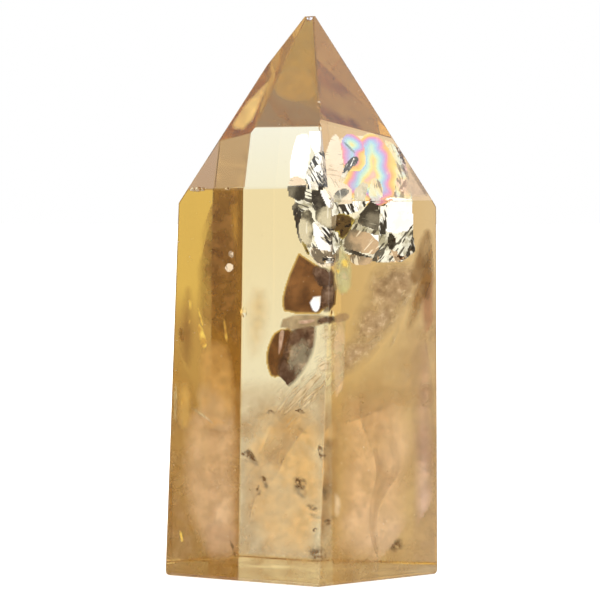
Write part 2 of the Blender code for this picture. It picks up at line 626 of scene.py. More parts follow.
class Effects:
    """The node groups that more than one material uses."""

    def __init__(self) -> None:
        """Builds each group once."""
        self.film = self.film_group()
        self.grain = self.grain_group()
        self.fibre = self.fibre_group()

    def film_group(self) -> Shade:
        """Rainbow bands of a thin film that thickens from the rim inwards and wanders.

        Returns:
            The group, with inputs Scale, Shift and Rim and the output Colour.
        """
        hand = Shade.group(
            "film_bands", {"Scale": 220.0, "Shift": 0.0, "Rim": 0.0}, {"Colour": "NodeSocketColor"}
        )
        spot = hand.here()
        inlet = hand.inlet.outputs
        wander = hand.clouds(spot, inlet["Scale"], 1.0, Distortion=FILM_KINK)
        inwards = hand.math("MULTIPLY", inlet["Rim"], FILM_PER_MM)
        depth = hand.math("ADD", hand.math("MULTIPLY", wander, FILM_WANDER), inwards)
        phase = hand.math("FRACT", hand.math("ADD", depth, inlet["Shift"]))
        hand.set(hand.outlet.inputs["Colour"], hand.ramp(phase, FILM_COLOURS))
        return hand

    def grain_group(self) -> Shade:
        """Two sizes of noise, for mottling and for fine bumps.

        Returns:
            The group, with inputs Scale, Low and High, and the outputs Mask and Height.
        """
        hand = Shade.group(
            "stone_grain",
            {"Scale": 400.0, "Low": 0.4, "High": 0.6},
            {"Mask": "NodeSocketFloat", "Height": "NodeSocketFloat"},
        )
        spot = hand.here()
        inlet = hand.inlet.outputs
        coarse = hand.clouds(spot, inlet["Scale"], 3.0)
        fine = hand.clouds(spot, hand.math("MULTIPLY", inlet["Scale"], FINE_GRAIN), 2.0)
        hand.set(hand.outlet.inputs["Mask"], hand.span(coarse, inlet["Low"], inlet["High"]))
        hand.set(hand.outlet.inputs["Height"], fine)
        return hand

    def fibre_group(self) -> Shade:
        """Streaks drawn out along a sheet's lay.

        Returns:
            The group, with inputs Width (millimetres), Low and High, and the output Mask.
        """
        hand = Shade.group(
            "drawn_fibres", {"Width": 0.5, "Low": 0.45, "High": 0.55}, {"Mask": "NodeSocketFloat"}
        )
        inlet = hand.inlet.outputs
        lay = hand.add("Attribute", attribute_name="lay").outputs["Vector"]
        drawn = hand.add("VectorMath", {0: lay, 1: FIBRE_DRAW}, operation="MULTIPLY").outputs[0]
        scale = hand.math("DIVIDE", FIBRE_PITCH, inlet["Width"])
        streaks = hand.clouds(drawn, scale, 2.0, Distortion=FIBRE_KINK)
        hand.set(hand.outlet.inputs["Mask"], hand.span(streaks, inlet["Low"], inlet["High"]))
        return hand

    def mottle(self, hand: Shade, scale: float, patchy: Point) -> bpy.types.Node:
        """Places the grain at a scale, with the span of its noise over which the patches fade."""
        return hand.place(self.grain, scale=scale, low=patchy[0], high=patchy[1])


@dataclass(frozen=True)
class QuartzFinish:
    """The clear yellow stone with its polish.

    The takes are what a metre of the stone takes from red, green and blue, as a rate.
    """

    takes: Colour = (4.0, 9.8, 29.6)
    rate: float = 30.0
    roughness: float = 0.0

    def material(self) -> bpy.types.Material:
        """Builds the material.

        Returns:
            The material.
        """
        material, hand, shader = Shade.material("polished_quartz")
        hand.set(shader.inputs["Base Color"], opaque((1.0, 1.0, 1.0)))
        hand.set(shader.inputs["Roughness"], self.roughness)
        hand.set(shader.inputs["IOR"], STONE_IOR)
        hand.set(shader.inputs["Transmission Weight"], 1.0)
        spared = tuple(1.0 - taken / self.rate for taken in self.takes)
        volume = hand.add("VolumeAbsorption", {"Color": opaque(spared), "Density": self.rate})
        hand.set(hand.tree.nodes["Material Output"].inputs["Volume"], volume.outputs[0])
        return material


@dataclass(frozen=True)
class Finish:
    """The look of an inner piece. Each kind wires the shader in its own way."""

    name: str

    def wire(self, hand: Shade, shader: bpy.types.Node, effects: Effects) -> None:
        """Wires the look.

        Args:
            hand: The material's wiring hand.
            shader: Its Principled shader.
            effects: The shared node groups.
        """
        raise NotImplementedError

    def material(self, effects: Effects) -> bpy.types.Material:
        """Builds the material.

        Args:
            effects: The shared node groups.

        Returns:
            The material.
        """
        material, hand, shader = Shade.material(self.name)
        self.wire(hand, shader, effects)
        return material


@dataclass(frozen=True)
class MirrorFinish(Finish):
    """An open crack: a mirror in two tones, with film, ribs or a painted highlight along its rim where it
    has them.
    """

    tint: Colour = (1.0, 1.0, 1.0)
    shade: Colour = (0.8, 0.8, 0.8)
    clouds: float = 350.0
    cloudy: Point = (0.42, 0.62)
    film: float = 0.0
    film_scale: float = 200.0
    film_shift: float = 0.0
    ribs: float = 0.0
    rib_width: float = 0.4
    rib_span: Point = (0.47, 0.53)
    rib_tint: Colour = (0.03, 0.026, 0.02)
    rim_highlight_tint: Colour = (1.0, 0.8, 0.4)
    rim_highlight_width: float = 0.0
    roughness: float = 0.04
    most: float = 1.0

    def wire(self, hand: Shade, shader: bpy.types.Node, effects: Effects) -> None:
        """Mixes the mirror's tones, film, ribs and painted rim highlight, in that order.

        Args:
            hand: The material's wiring hand.
            shader: Its Principled shader.
            effects: The shared node groups.
        """
        grain = effects.mottle(hand, self.clouds, self.cloudy)
        rim = hand.own("rim")
        colour = hand.blend(grain.outputs["Mask"], self.tint, self.shade)
        if self.film:
            bands = hand.place(effects.film, scale=self.film_scale, shift=self.film_shift, rim=rim)
            colour = hand.blend(self.film, colour, bands.outputs["Colour"])
        if self.ribs:
            low, high = self.rib_span
            lines = hand.place(effects.fibre, width=self.rib_width, low=low, high=high).outputs["Mask"]
            colour = hand.blend(hand.math("MULTIPLY", lines, self.ribs), colour, self.rib_tint)
        # Painted highlight: the rim tint laid along the crack's outline.
        if self.rim_highlight_width:
            colour = hand.blend(hand.span(rim, 0.0, self.rim_highlight_width), self.rim_highlight_tint, colour)
        hand.metal(shader, colour, self.roughness, self.most)


@dataclass(frozen=True)
class GrittyFinish(Finish):
    """A crushed or fibrous face: many tones in fine grains, some of it clear."""

    tones: tuple[tuple[float, Colour], ...]
    scale: float = 2200.0
    patches: float = 500.0
    patchy: Point = (0.35, 0.55)
    least: float = 0.2
    most: float = 1.0
    fibres: float = 0.0
    octaves: float = 6.0
    harshness: float = 0.62
    roughness: float = 0.35
    bump: float = 0.5
    tone_span: Point = (0.3, 0.7)
    hair_span: Point = (0.25, 0.75)
    hair_body: Point = (0.15, 1.0)

    def wire(self, hand: Shade, shader: bpy.types.Node, effects: Effects) -> None:
        """Draws the grains or fibres and lets the stone show between them.

        Args:
            hand: The material's wiring hand.
            shader: Its Principled shader.
            effects: The shared node groups.
        """
        grain = effects.mottle(hand, self.patches, self.patchy)
        if self.fibres:
            low, high = self.tone_span
            tone = hand.place(effects.fibre, width=self.fibres, low=low, high=high).outputs["Mask"]
        else:
            specks = hand.clouds(hand.here(), self.scale, self.octaves, Roughness=self.harshness)
            tone = hand.span(specks, *self.tone_span)
        body = hand.span(grain.outputs["Mask"], 0.0, 1.0, (self.least, self.most))
        if self.fibres:
            body = hand.math("MULTIPLY", body, hand.span(tone, *self.hair_span, self.hair_body))
        hand.metal(shader, hand.ramp(tone, self.tones), self.roughness, body)
        if self.bump:
            hand.ridges(shader, tone, self.bump)


@dataclass(frozen=True)
class VeilFinish(Finish):
    """A soft cloud in the stone, patchy, fading at its rim."""

    pale: Colour
    deep: Colour
    scale: float
    patchy: Point
    least: float
    most: float
    roughness: float = 0.6
    gleam: float = 0.1
    fine_span: Point = (0.35, 0.65)
    fine_body: Point = (0.7, 1.0)

    def wire(self, hand: Shade, shader: bpy.types.Node, effects: Effects) -> None:
        """Makes a dull, patchy and half clear face.

        Args:
            hand: The material's wiring hand.
            shader: Its Principled shader.
            effects: The shared node groups.
        """
        grain = effects.mottle(hand, self.scale, self.patchy)
        fine = hand.span(grain.outputs["Height"], *self.fine_span)
        hand.set(shader.inputs["Base Color"], hand.blend(fine, self.deep, self.pale))
        hand.set(shader.inputs["Roughness"], self.roughness)
        hand.set(shader.inputs["Specular IOR Level"], self.gleam)
        body = hand.span(grain.outputs["Mask"], 0.0, 1.0, (self.least, self.most))
        speckled = hand.math("MULTIPLY", body, hand.span(fine, 0.0, 1.0, self.fine_body))
        hand.set(shader.inputs["Alpha"], hand.math("MULTIPLY", speckled, hand.own("fade")))


@dataclass(frozen=True)
class PaintedLightShadeFinish(Finish):
    """A soft sheet of painted light and shade: a blurred mirror that catches the front light in its sheet's
    painted tone.
    """

    scale: float = 200.0
    patchy: Point = (0.34, 0.66)
    least: float = 0.6
    most: float = 0.95
    uneven: Point = (0.86, 1.1)
    level_span: Point = (0.3, 0.7)
    roughness: float = 0.14

    def wire(self, hand: Shade, shader: bpy.types.Node, effects: Effects) -> None:
        """Blurs the mirror and makes its painted light and shade tone a little uneven.

        Args:
            hand: The material's wiring hand.
            shader: Its Principled shader.
            effects: The shared node groups.
        """
        grain = effects.mottle(hand, self.scale, self.patchy)
        # The sheet's painted light and shade tone.
        tone = hand.add("Attribute", attribute_name="tone").outputs["Color"]
        level = hand.span(grain.outputs["Height"], *self.level_span, self.uneven)
        uneven = hand.add("VectorMath", {0: tone, "Scale": level}, operation="SCALE")
        body = hand.span(grain.outputs["Mask"], 0.0, 1.0, (self.least, self.most))
        hand.metal(shader, uneven.outputs["Vector"], self.roughness, body)


@dataclass(frozen=True)
class SpeckFinish(Finish):
    """A solid speck: dull, a little uneven in colour."""

    pale: Colour
    deep: Colour
    scale: float = 3000.0
    roughness: float = 0.5

    def wire(self, hand: Shade, shader: bpy.types.Node, effects: Effects) -> None:
        """Mottles a solid, dull face.

        Args:
            hand: The material's wiring hand.
            shader: Its Principled shader.
            effects: The shared node groups.
        """
        grain = hand.place(effects.grain, scale=self.scale)
        hand.set(shader.inputs["Base Color"], hand.blend(grain.outputs["Mask"], self.deep, self.pale))
        hand.set(shader.inputs["Roughness"], self.roughness)


@dataclass
class PolishedStone:
    """The tower itself, its loose faces merged into whole polished facets."""

    merge: float = 0.001 * MM
    flat_within: float = 0.3
    finish: QuartzFinish = field(default_factory=QuartzFinish)

    def build(self) -> bpy.types.Object:
        """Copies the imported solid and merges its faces.

        Returns:
            The stone.
        """
        Bench.clear()
        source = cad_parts[NODE]
        stone = bpy.data.objects.new("polished_stone", source.data.copy())
        bpy.context.scene.collection.objects.link(stone)
        Bench.take(stone)
        bpy.ops.object.mode_set(mode="EDIT")
        bpy.ops.mesh.select_all(action="SELECT")
        bpy.ops.mesh.remove_doubles(threshold=self.merge)
        bpy.ops.mesh.dissolve_limited(angle_limit=math.radians(self.flat_within))
        bpy.ops.mesh.normals_make_consistent(inside=False)
        bpy.ops.object.mode_set(mode="OBJECT")
        stone.data.polygons.foreach_set("use_smooth", [False] * len(stone.data.polygons))
        Bench.dress(stone, self.finish.material())
        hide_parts(NODE)
        return stone


class Family(Enum):
    """The families of cracks, by their look."""

    WHITE = "white_panes"
    CREAM = "cream_petals"
    SPLINTER = "splintered_backing"
    RAINBOW = "rainbow_fan"
    FRINGE = "pale_fringe"
    STRIPED = "striped_blades"
    GREY = "grey_blades"
    TAN = "tan_mirrors"
    DARK = "dark_blades"
    GOLD = "golden_blades"
    STAINED = "stained_tongues"
    BLUSH = "blush_streaks"
    MAUVE = "grainy_tongue"
    CRUSHED = "crushed_zone"
    FIBRES = "fibrous_band"
    SMOKE = "smoky_clouds"
    SHEEN = "soft_sheens"
    ROSE = "rose_haze"
    PALE = "pale_windows"
    AMBER = "amber_flecks"
    BROWN = "brown_flecks"


@dataclass(frozen=True)
class Cracks:
    """A family of sheets that share one finish and are joined into one piece."""

    family: Family
    finish: Finish
    sheets: tuple[Sheet, ...]

    def build(self, sight: Sightlines, effects: Effects) -> bpy.types.Object:
        """Builds and dresses the family.

        Args:
            sight: The sightlines into the stone.
            effects: The shared node groups.

        Returns:
            The joined piece.
        """
        piece = Bench.join([sheet.build(sight) for sheet in self.sheets], self.family.value)
        Bench.dress(piece, self.finish.material(effects))
        return piece


LEFT_SIDE: Point = (195.0, 25.0)
RIGHT_SIDE: Point = (155.0, 25.0)
LEFT_CROWN: Point = (195.0, 35.0)
RIGHT_CROWN: Point = (155.0, 35.0)
LEVEL: Point = (182.0, -12.0)

CALM = Relief(swell=0.05, swell_size=4.0)
SMOOTH = Relief(swell=0.16, swell_size=3.5)
WAVY = Relief(swell=0.26, swell_size=2.2)
CRUMPLED = Relief(swell=0.2, swell_size=1.4, grit=0.06, grit_size=0.6)
GRITTY = Relief(swell=0.2, swell_size=2.5, grit=0.03, grit_size=0.5)


WHITE_CRACKS = Cracks(
    Family.WHITE,
    MirrorFinish("white_crack", shade=(0.96, 0.93, 0.86)),
    (
        Sheet("tall_petal", ((-1.42, 56.6), (-1.36, 58.9), (-0.94, 61.0), (-0.4, 62.6), (0.32, 62.9),
              (1.15, 62.8), (1.5, 61.8), (1.55, 60.6), (1.15, 57.8), (0.8, 56.4)), 1.9, LEFT_CROWN, CALM,
              rounds=0),
        Sheet("small_petal", ((1.35, 63.2), (2.8, 63.25), (2.9, 60.0), (2.2, 60.0), (1.65, 61.0),
              (1.4, 62.2)), 1.0, LEFT_CROWN, CALM, rounds=0),
        Sheet("white_lens", ((1.8, 57.5), (2.4, 58.3), (3.1, 58.4), (3.1, 57.4)), 1.0, LEFT_CROWN, CALM,
              rounds=2),
        Sheet("white_streak", ((2.95, 55.0), (4.75, 52.9), (4.8, 52.0), (4.0, 52.3), (3.1, 54.0)),
              1.0, LEFT_SIDE, CALM),
        Sheet("white_wedge", ((1.97, 49.9), (2.4, 49.8), (4.7, 46.4), (4.6, 45.9), (2.67, 46.2),
              (2.1, 47.6)), 1.0, LEFT_SIDE, CALM, rounds=0),
        Sheet("white_pane", ((11.8, 51.8), (12.8, 53.1), (16.2, 53.1), (16.4, 49.9), (15.6, 48.9),
              (13.75, 48.5), (12.4, 48.8)), 1.8, RIGHT_SIDE, CALM, rounds=0),
        Sheet("white_corner", ((9.2, 48.6), (11.4, 48.2), (11.4, 46.3), (10.7, 45.9), (10.1, 46.7)),
              1.5, RIGHT_SIDE, CALM, rounds=0),
        Sheet("white_patch", ((1.1, 39.3), (1.9, 39.4), (2.5, 40.4), (3.1, 39.9), (3.1, 38.0), (2.6, 37.0),
              (1.9, 37.1), (1.4, 38.2)), 1.1, LEFT_SIDE, CALM, soften=0.25),
    ),
)

CREAM_CRACKS = Cracks(
    Family.CREAM,
    MirrorFinish("cream_crack", tint=(0.8, 0.68, 0.49), shade=(0.78, 0.6, 0.42), clouds=200.0,
                 cloudy=(0.4, 0.66), ribs=0.5, rib_width=0.16, rib_span=(0.6, 0.66),
                 rib_tint=(0.3, 0.2, 0.1)),
    (
        Sheet("ledge", ((-1.7, 55.3), (-1.36, 56.5), (-0.55, 56.8), (0.46, 56.4), (1.3, 55.3)),
              1.7, LEFT_CROWN, SMOOTH, 80.0),
        Sheet("cream_petal", ((3.3, 57.2), (3.2, 58.4), (3.65, 59.9), (4.4, 62.0), (4.9, 62.8), (5.6, 62.8),
              (5.97, 61.6), (6.1, 60.3), (6.5, 58.7), (6.3, 57.5), (5.7, 56.2), (4.6, 56.2)),
              1.4, RIGHT_CROWN, CALM, 80.0),
        Sheet("sill", ((3.2, 57.3), (4.6, 56.6), (6.0, 56.2), (7.5, 54.9), (7.5, 53.2), (4.9, 53.2),
              (3.2, 55.2)), 1.7, RIGHT_CROWN, SMOOTH, 35.0, rounds=0),
        Sheet("crown_backing", ((3.2, 55.3), (3.2, 58.5), (4.4, 61.8), (6.2, 62.3), (10.0, 62.7),
              (13.0, 60.3), (14.1, 57.0), (13.5, 53.3), (5.0, 53.2)), 3.5, RIGHT_CROWN, CALM, 70.0),
        Sheet("comma_fleck", ((-10.9, 43.4), (-10.4, 42.9), (-9.8, 43.1), (-9.6, 43.9), (-10.1, 44.2),
              (-10.6, 44.0)), 1.2, LEFT_SIDE, CALM, 30.0),
        Sheet("comma_tail", ((-10.4, 45.5), (-10.1, 46.0), (-9.7, 45.9), (-9.6, 45.1), (-9.9, 44.9)),
              1.2, LEFT_SIDE, CRUMPLED, 70.0),
        Sheet("cream_foot", ((1.5, 46.5), (4.7, 45.9), (4.7, 44.1), (4.0, 43.6), (2.9, 43.6), (1.75, 45.2)),
              1.2, LEFT_SIDE, SMOOTH, 20.0),
    ),
)

SPLINTER_CRACKS = Cracks(
    Family.SPLINTER,
    MirrorFinish("splintered_crack", tint=(0.88, 0.84, 0.7), shade=(0.4, 0.36, 0.24), clouds=420.0,
                 cloudy=(0.44, 0.6), ribs=0.92, rib_width=0.2, rib_span=(0.53, 0.58),
                 rib_tint=(0.05, 0.04, 0.025)),
    (
        Sheet("left_backing", ((-0.9, 55.0), (3.1, 55.2), (4.8, 53.2), (4.8, 44.6), (2.8, 43.7),
              (0.6, 46.6), (-0.5, 50.0)), 2.9, LEFT_SIDE, CALM, 30.0, rounds=0),
        Sheet("right_backing", ((4.75, 53.1), (16.2, 53.1), (16.4, 48.0), (14.9, 44.5), (11.2, 44.3),
              (6.0, 45.8), (4.75, 48.4)), 3.0, RIGHT_SIDE, CALM, -35.0, rounds=0),
        Sheet("seam_top", ((4.72, 53.0), (5.6, 53.0), (5.5, 51.3), (4.72, 51.0)), 0.5, RIGHT_SIDE, CALM,
              20.0, rounds=0),
        Sheet("seam_foot", ((4.72, 48.9), (5.5, 48.7), (5.9, 46.4), (4.72, 45.4)), 0.5, RIGHT_SIDE, CALM,
              20.0, rounds=0),
        Sheet("ledge_splinters", ((-0.9, 55.1), (1.8, 55.1), (1.8, 52.4), (0.3, 51.6), (-0.6, 52.6)),
              2.0, LEFT_SIDE, CALM, 65.0, rounds=0),
    ),
)

RAINBOW_CRACKS = Cracks(
    Family.RAINBOW,
    MirrorFinish("rainbow_crack", tint=(0.8, 0.6, 0.4), film=1.0, film_scale=190.0, film_shift=0.62,
                 ribs=0.35, rib_width=0.3, rib_span=(0.62, 0.72), rib_tint=(0.85, 0.75, 0.5)),
    (
        Sheet("fan_lobe", ((5.9, 57.5), (5.7, 60.5), (6.2, 62.4), (6.9, 62.9), (8.2, 62.7), (9.3, 61.6),
              (9.6, 57.5)), 1.8, RIGHT_CROWN, SMOOTH, -60.0),
        Sheet("fan", ((8.6, 61.5), (9.0, 62.5), (10.0, 63.1), (11.5, 62.5), (12.9, 60.7), (13.9, 58.7),
              (14.2, 57.6), (13.9, 55.5), (13.35, 53.3), (6.84, 53.3), (6.2, 55.5), (6.6, 58.0)),
              2.1, RIGHT_CROWN, SMOOTH),
    ),
)

FRINGE_CRACKS = Cracks(
    Family.FRINGE,
    MirrorFinish("fringe_crack", tint=(0.74, 0.56, 0.36), shade=(0.85, 0.72, 0.52), clouds=500.0, film=0.45,
                 film_scale=300.0, ribs=0.8, rib_width=0.28, rib_span=(0.58, 0.64),
                 rib_tint=(0.2, 0.13, 0.07)),
    (
        Sheet("fringe", ((12.0, 62.0), (13.2, 61.7), (14.7, 60.4), (15.4, 58.2), (16.1, 54.8), (16.3, 53.2),
              (13.3, 53.2)), 2.7, RIGHT_CROWN, CRUMPLED, 20.0),
        Sheet("wedge", ((9.9, 53.3), (10.2, 56.0), (10.9, 56.6), (11.9, 55.6), (12.0, 53.3)),
              1.6, RIGHT_CROWN, SMOOTH, 8.0),
    ),
)

# Painted shade: the black stripes across these pale mirrors stand for the shaded sides of fine ripples on
# the cracks.
STRIPED_CRACKS = Cracks(
    Family.STRIPED,
    MirrorFinish("striped_crack", tint=(1.0, 0.97, 0.88), shade=(0.6, 0.53, 0.38), clouds=600.0, ribs=1.0,
                 rib_width=0.2, rib_span=(0.49, 0.54)),
    (
        Sheet("striped_petal", ((3.3, 60.4), (2.3, 60.1), (1.6, 58.9), (1.0, 57.5), (0.8, 56.4),
              (1.2, 55.2), (3.4, 55.2)), 1.1, LEFT_CROWN, CALM, 30.0, rounds=0),
        Sheet("diagonal_band", ((1.9, 50.1), (2.7, 50.3), (4.8, 48.9), (4.8, 46.5), (4.2, 46.6),
              (1.8, 49.3)), 1.2, LEFT_SIDE, SMOOTH, 45.0, rounds=0),
        Sheet("streaked_top", ((4.75, 53.1), (10.4, 53.1), (9.4, 52.4), (8.0, 50.7), (6.4, 51.0),
              (4.75, 50.4)), 1.5, RIGHT_SIDE, CALM, 25.0, rounds=0),
        Sheet("curl_ribs", ((5.9, 56.9), (6.3, 58.0), (7.2, 59.2), (8.0, 59.5), (8.0, 58.6), (7.2, 57.6),
              (6.2, 56.3)), 1.2, RIGHT_CROWN, CALM, -33.0, rounds=1),
        Sheet("pane_edge", ((11.5, 52.4), (12.9, 52.6), (12.4, 48.4), (11.5, 48.2)), 1.6, RIGHT_SIDE,
              SMOOTH, 10.0, rounds=0),
        Sheet("scribble", ((3.2, 45.2), (4.7, 45.1), (4.7, 44.2), (3.4, 44.2)), 0.9, LEFT_SIDE, CRUMPLED,
              70.0),
        Sheet("low_right", ((11.4, 48.1), (13.2, 48.5), (14.9, 48.8), (15.8, 49.1), (16.5, 47.8),
              (16.7, 45.9), (14.9, 44.5), (11.3, 44.4)), 2.1, RIGHT_SIDE, CRUMPLED, 15.0, rounds=0),
    ),
)

GREY_CRACKS = Cracks(
    Family.GREY,
    MirrorFinish("grey_crack", tint=(0.62, 0.54, 0.36), shade=(0.09, 0.075, 0.045), clouds=330.0,
                 cloudy=(0.42, 0.62), ribs=0.5, rib_width=0.24, rib_span=(0.62, 0.68),
                 rib_tint=(0.9, 0.85, 0.7)),
    (
        Sheet("grey_blade", ((0.32, 51.4), (1.55, 52.2), (2.0, 50.0), (1.7, 47.0), (1.4, 46.2), (0.0, 47.8),
              (-0.2, 49.9)), 1.7, LEFT_SIDE, SMOOTH),
        Sheet("beige_dome", ((2.2, 50.6), (2.35, 52.0), (3.3, 52.5), (4.7, 52.3), (4.8, 51.2), (4.8, 48.9),
              (4.0, 49.3), (2.8, 50.0)), 1.3, LEFT_SIDE, SMOOTH),
        Sheet("mauve_lens", ((4.85, 53.9), (5.4, 54.7), (6.4, 55.1), (7.3, 54.7), (6.6, 53.9), (5.7, 53.25),
              (5.0, 53.2)), 1.2, RIGHT_CROWN, SMOOTH),
        Sheet("fan_pane", ((7.9, 53.3), (8.0, 54.9), (9.0, 55.9), (9.9, 55.6), (9.4, 53.3)),
              1.5, RIGHT_CROWN, CALM, rounds=0),
    ),
)

TAN_CRACKS = Cracks(
    Family.TAN,
    MirrorFinish("tan_crack", tint=(0.55, 0.38, 0.22), shade=(0.17, 0.13, 0.08), clouds=240.0,
                 cloudy=(0.4, 0.6), ribs=0.7, rib_width=0.3, rib_span=(0.6, 0.66),
                 rib_tint=(0.95, 0.82, 0.6)),
    (
        Sheet("tan_mirror", ((6.3, 46.5), (6.55, 48.0), (7.5, 49.9), (8.6, 49.9), (10.0, 48.6),
              (11.4, 48.3), (11.4, 46.3), (10.7, 45.5), (9.0, 45.7), (7.6, 46.0)), 1.7, RIGHT_SIDE, SMOOTH,
              -38.0, rounds=0),
        Sheet("tan_shelf", ((7.2, 45.7), (10.6, 45.1), (10.2, 43.9), (7.4, 44.0)), 1.9, RIGHT_SIDE, SMOOTH,
              8.0),
        Sheet("tan_ledge", ((1.6, 46.5), (2.7, 46.3), (4.7, 45.8), (4.7, 44.4), (2.9, 43.9), (1.8, 45.0)),
              1.0, LEFT_SIDE, SMOOTH, 20.0),
        Sheet("tan_flakes", ((11.3, 45.8), (12.6, 46.2), (15.6, 45.6), (15.0, 44.4), (11.2, 44.3)),
              1.3, RIGHT_SIDE, CRUMPLED, 25.0),
    ),
)

# Painted shade: these mirrors are tinted near black, standing for the dark surroundings that the cracks
# mirror, with paler streaks.
PAINTED_SHADE_CRACKS = Cracks(
    Family.DARK,
    MirrorFinish("painted_shade_crack", tint=(0.035, 0.028, 0.018), shade=(0.2, 0.17, 0.115), clouds=300.0,
                 cloudy=(0.46, 0.66), ribs=0.6, rib_width=0.22, rib_span=(0.64, 0.7),
                 rib_tint=(0.4, 0.36, 0.26)),
    (
        Sheet("dark_flake", ((-1.8, 55.1), (0.9, 55.05), (0.6, 53.4), (-0.3, 53.2), (-1.6, 53.9)),
              1.5, LEFT_SIDE, WAVY, rounds=0),
        Sheet("dark_edge", ((-1.15, 52.7), (0.2, 52.9), (0.2, 50.8), (-0.2, 49.6), (-0.75, 50.4),
              (-1.1, 52.0)), 1.6, LEFT_SIDE, CRUMPLED),
        Sheet("dark_thorn", ((-0.75, 50.4), (-0.2, 50.4), (0.1, 48.2), (0.3, 47.0), (-0.2, 47.6)),
              1.5, LEFT_SIDE, SMOOTH),
        Sheet("green_blade", ((1.7, 54.6), (2.95, 54.9), (4.1, 52.6), (2.4, 51.9), (1.7, 53.2)),
              1.1, LEFT_SIDE, CALM, -40.0, rounds=0),
        Sheet("dark_top", ((2.0, 59.4), (3.05, 60.2), (3.05, 58.7), (2.3, 58.4)), 1.1, LEFT_CROWN, SMOOTH),
        Sheet("dark_curl", ((7.2, 59.2), (7.7, 59.6), (8.4, 59.6), (8.5, 58.9), (7.9, 58.2), (7.3, 58.4)),
              1.0, RIGHT_CROWN, CALM),
        Sheet("fan_cleft", ((6.4, 61.9), (7.5, 60.9), (8.1, 60.2), (7.9, 59.9), (7.2, 60.6), (6.2, 61.6)),
              1.3, RIGHT_CROWN, CALM, 50.0, soften=0.2),
        Sheet("pane_chip", ((15.4, 50.0), (16.1, 50.4), (16.3, 49.3), (15.8, 49.0)), 1.2, RIGHT_SIDE, CALM,
              rounds=1),
        Sheet("black_facet", ((7.9, 50.1), (8.8, 51.3), (9.4, 52.6), (10.3, 53.1), (11.3, 52.6),
              (11.7, 51.2), (11.5, 49.9), (11.4, 48.3), (9.9, 48.7), (8.7, 49.8)), 1.2, RIGHT_SIDE, CALM,
              75.0, rounds=0),
        Sheet("mirror_rim", ((6.2, 46.6), (7.6, 46.1), (10.7, 45.5), (10.7, 45.0), (9.0, 45.1),
              (6.6, 45.9)), 1.2, RIGHT_SIDE, SMOOTH),
        Sheet("black_spots", ((12.8, 48.5), (13.5, 48.5), (14.0, 47.4), (13.5, 46.0), (12.7, 46.4)),
              1.4, RIGHT_SIDE, CRUMPLED),
        Sheet("diamond", ((15.0, 47.3), (15.6, 47.8), (16.1, 46.6), (15.9, 45.6), (15.3, 46.2)),
              1.4, RIGHT_SIDE, CALM, rounds=0),
    ),
)

# Dark brown-gold mirrors; the small yellow spots of the second tone are painted glints, and the band at the
# rim is a painted highlight.
GOLD_CRACKS = Cracks(
    Family.GOLD,
    MirrorFinish("golden_crack_with_painted_glints", tint=(0.085, 0.045, 0.01), shade=(0.6, 0.45, 0.06), clouds=700.0,
                 cloudy=(0.58, 0.66), rim_highlight_tint=(0.35, 0.26, 0.06), rim_highlight_width=0.25),
    (
        Sheet("gold_facet", ((4.75, 50.8), (5.5, 51.4), (6.8, 51.3), (7.95, 50.6), (7.8, 49.9), (6.4, 47.6),
              (5.7, 47.9), (4.75, 49.0)), 0.8, RIGHT_SIDE, CRUMPLED),
        Sheet("yellow_glint", ((0.3, 47.4), (0.86, 46.9), (1.5, 45.5), (1.1, 45.4), (0.5, 46.6)),
              1.0, LEFT_SIDE, CRUMPLED),
        Sheet("gold_spot", ((15.2, 46.7), (15.6, 46.9), (15.8, 46.4), (15.4, 46.2)), 1.0, RIGHT_SIDE, CALM),
    ),
)

# The brown is a real stain; the golden band along the rim is a painted highlight.
STAINED_CRACKS = Cracks(
    Family.STAINED,
    MirrorFinish("stained_crack", tint=(0.1, 0.037, 0.008), shade=(0.26, 0.11, 0.03), clouds=200.0,
                 cloudy=(0.38, 0.62), ribs=0.7, rib_width=0.5, rib_span=(0.58, 0.7),
                 rib_tint=(0.045, 0.017, 0.003), rim_highlight_tint=(0.6, 0.4, 0.12), rim_highlight_width=0.4, roughness=0.2),
    (
        Sheet("tongue", ((0.58, 47.3), (1.7, 45.5), (3.0, 43.6), (4.5, 42.6), (4.5, 36.8), (-2.3, 36.9),
              (-2.6, 38.4), (-2.4, 40.0), (-1.65, 42.4), (-0.64, 44.7), (0.3, 46.9)), 1.7, LEFT_SIDE,
              SMOOTH, 60.0),
        Sheet("low_tongue", ((-0.8, 34.9), (-3.5, 34.5), (-4.4, 32.9), (-4.9, 31.0), (-4.8, 29.2),
              (-4.1, 27.4), (-2.2, 28.0), (-1.2, 31.5)), 1.9, LEFT_SIDE, SMOOTH, 80.0),
    ),
)

BLUSH_CRACKS = Cracks(
    Family.BLUSH,
    MirrorFinish("blush_crack", tint=(0.55, 0.36, 0.25), shade=(0.7, 0.5, 0.38), clouds=500.0, most=0.85,
                 ribs=0.4, rib_width=0.2, rib_tint=(0.3, 0.15, 0.08)),
    (
        Sheet("blush_streak", ((-3.0, 34.6), (-2.1, 34.6), (-2.4, 32.6), (-3.0, 30.6), (-3.2, 31.5)),
              1.0, LEFT_SIDE, CALM, 70.0, soften=0.2),
        Sheet("blush_top", ((-0.4, 35.9), (2.3, 36.2), (2.2, 35.6), (0.0, 35.2)), 1.0, LEFT_SIDE, CALM,
              10.0, soften=0.2),
    ),
)

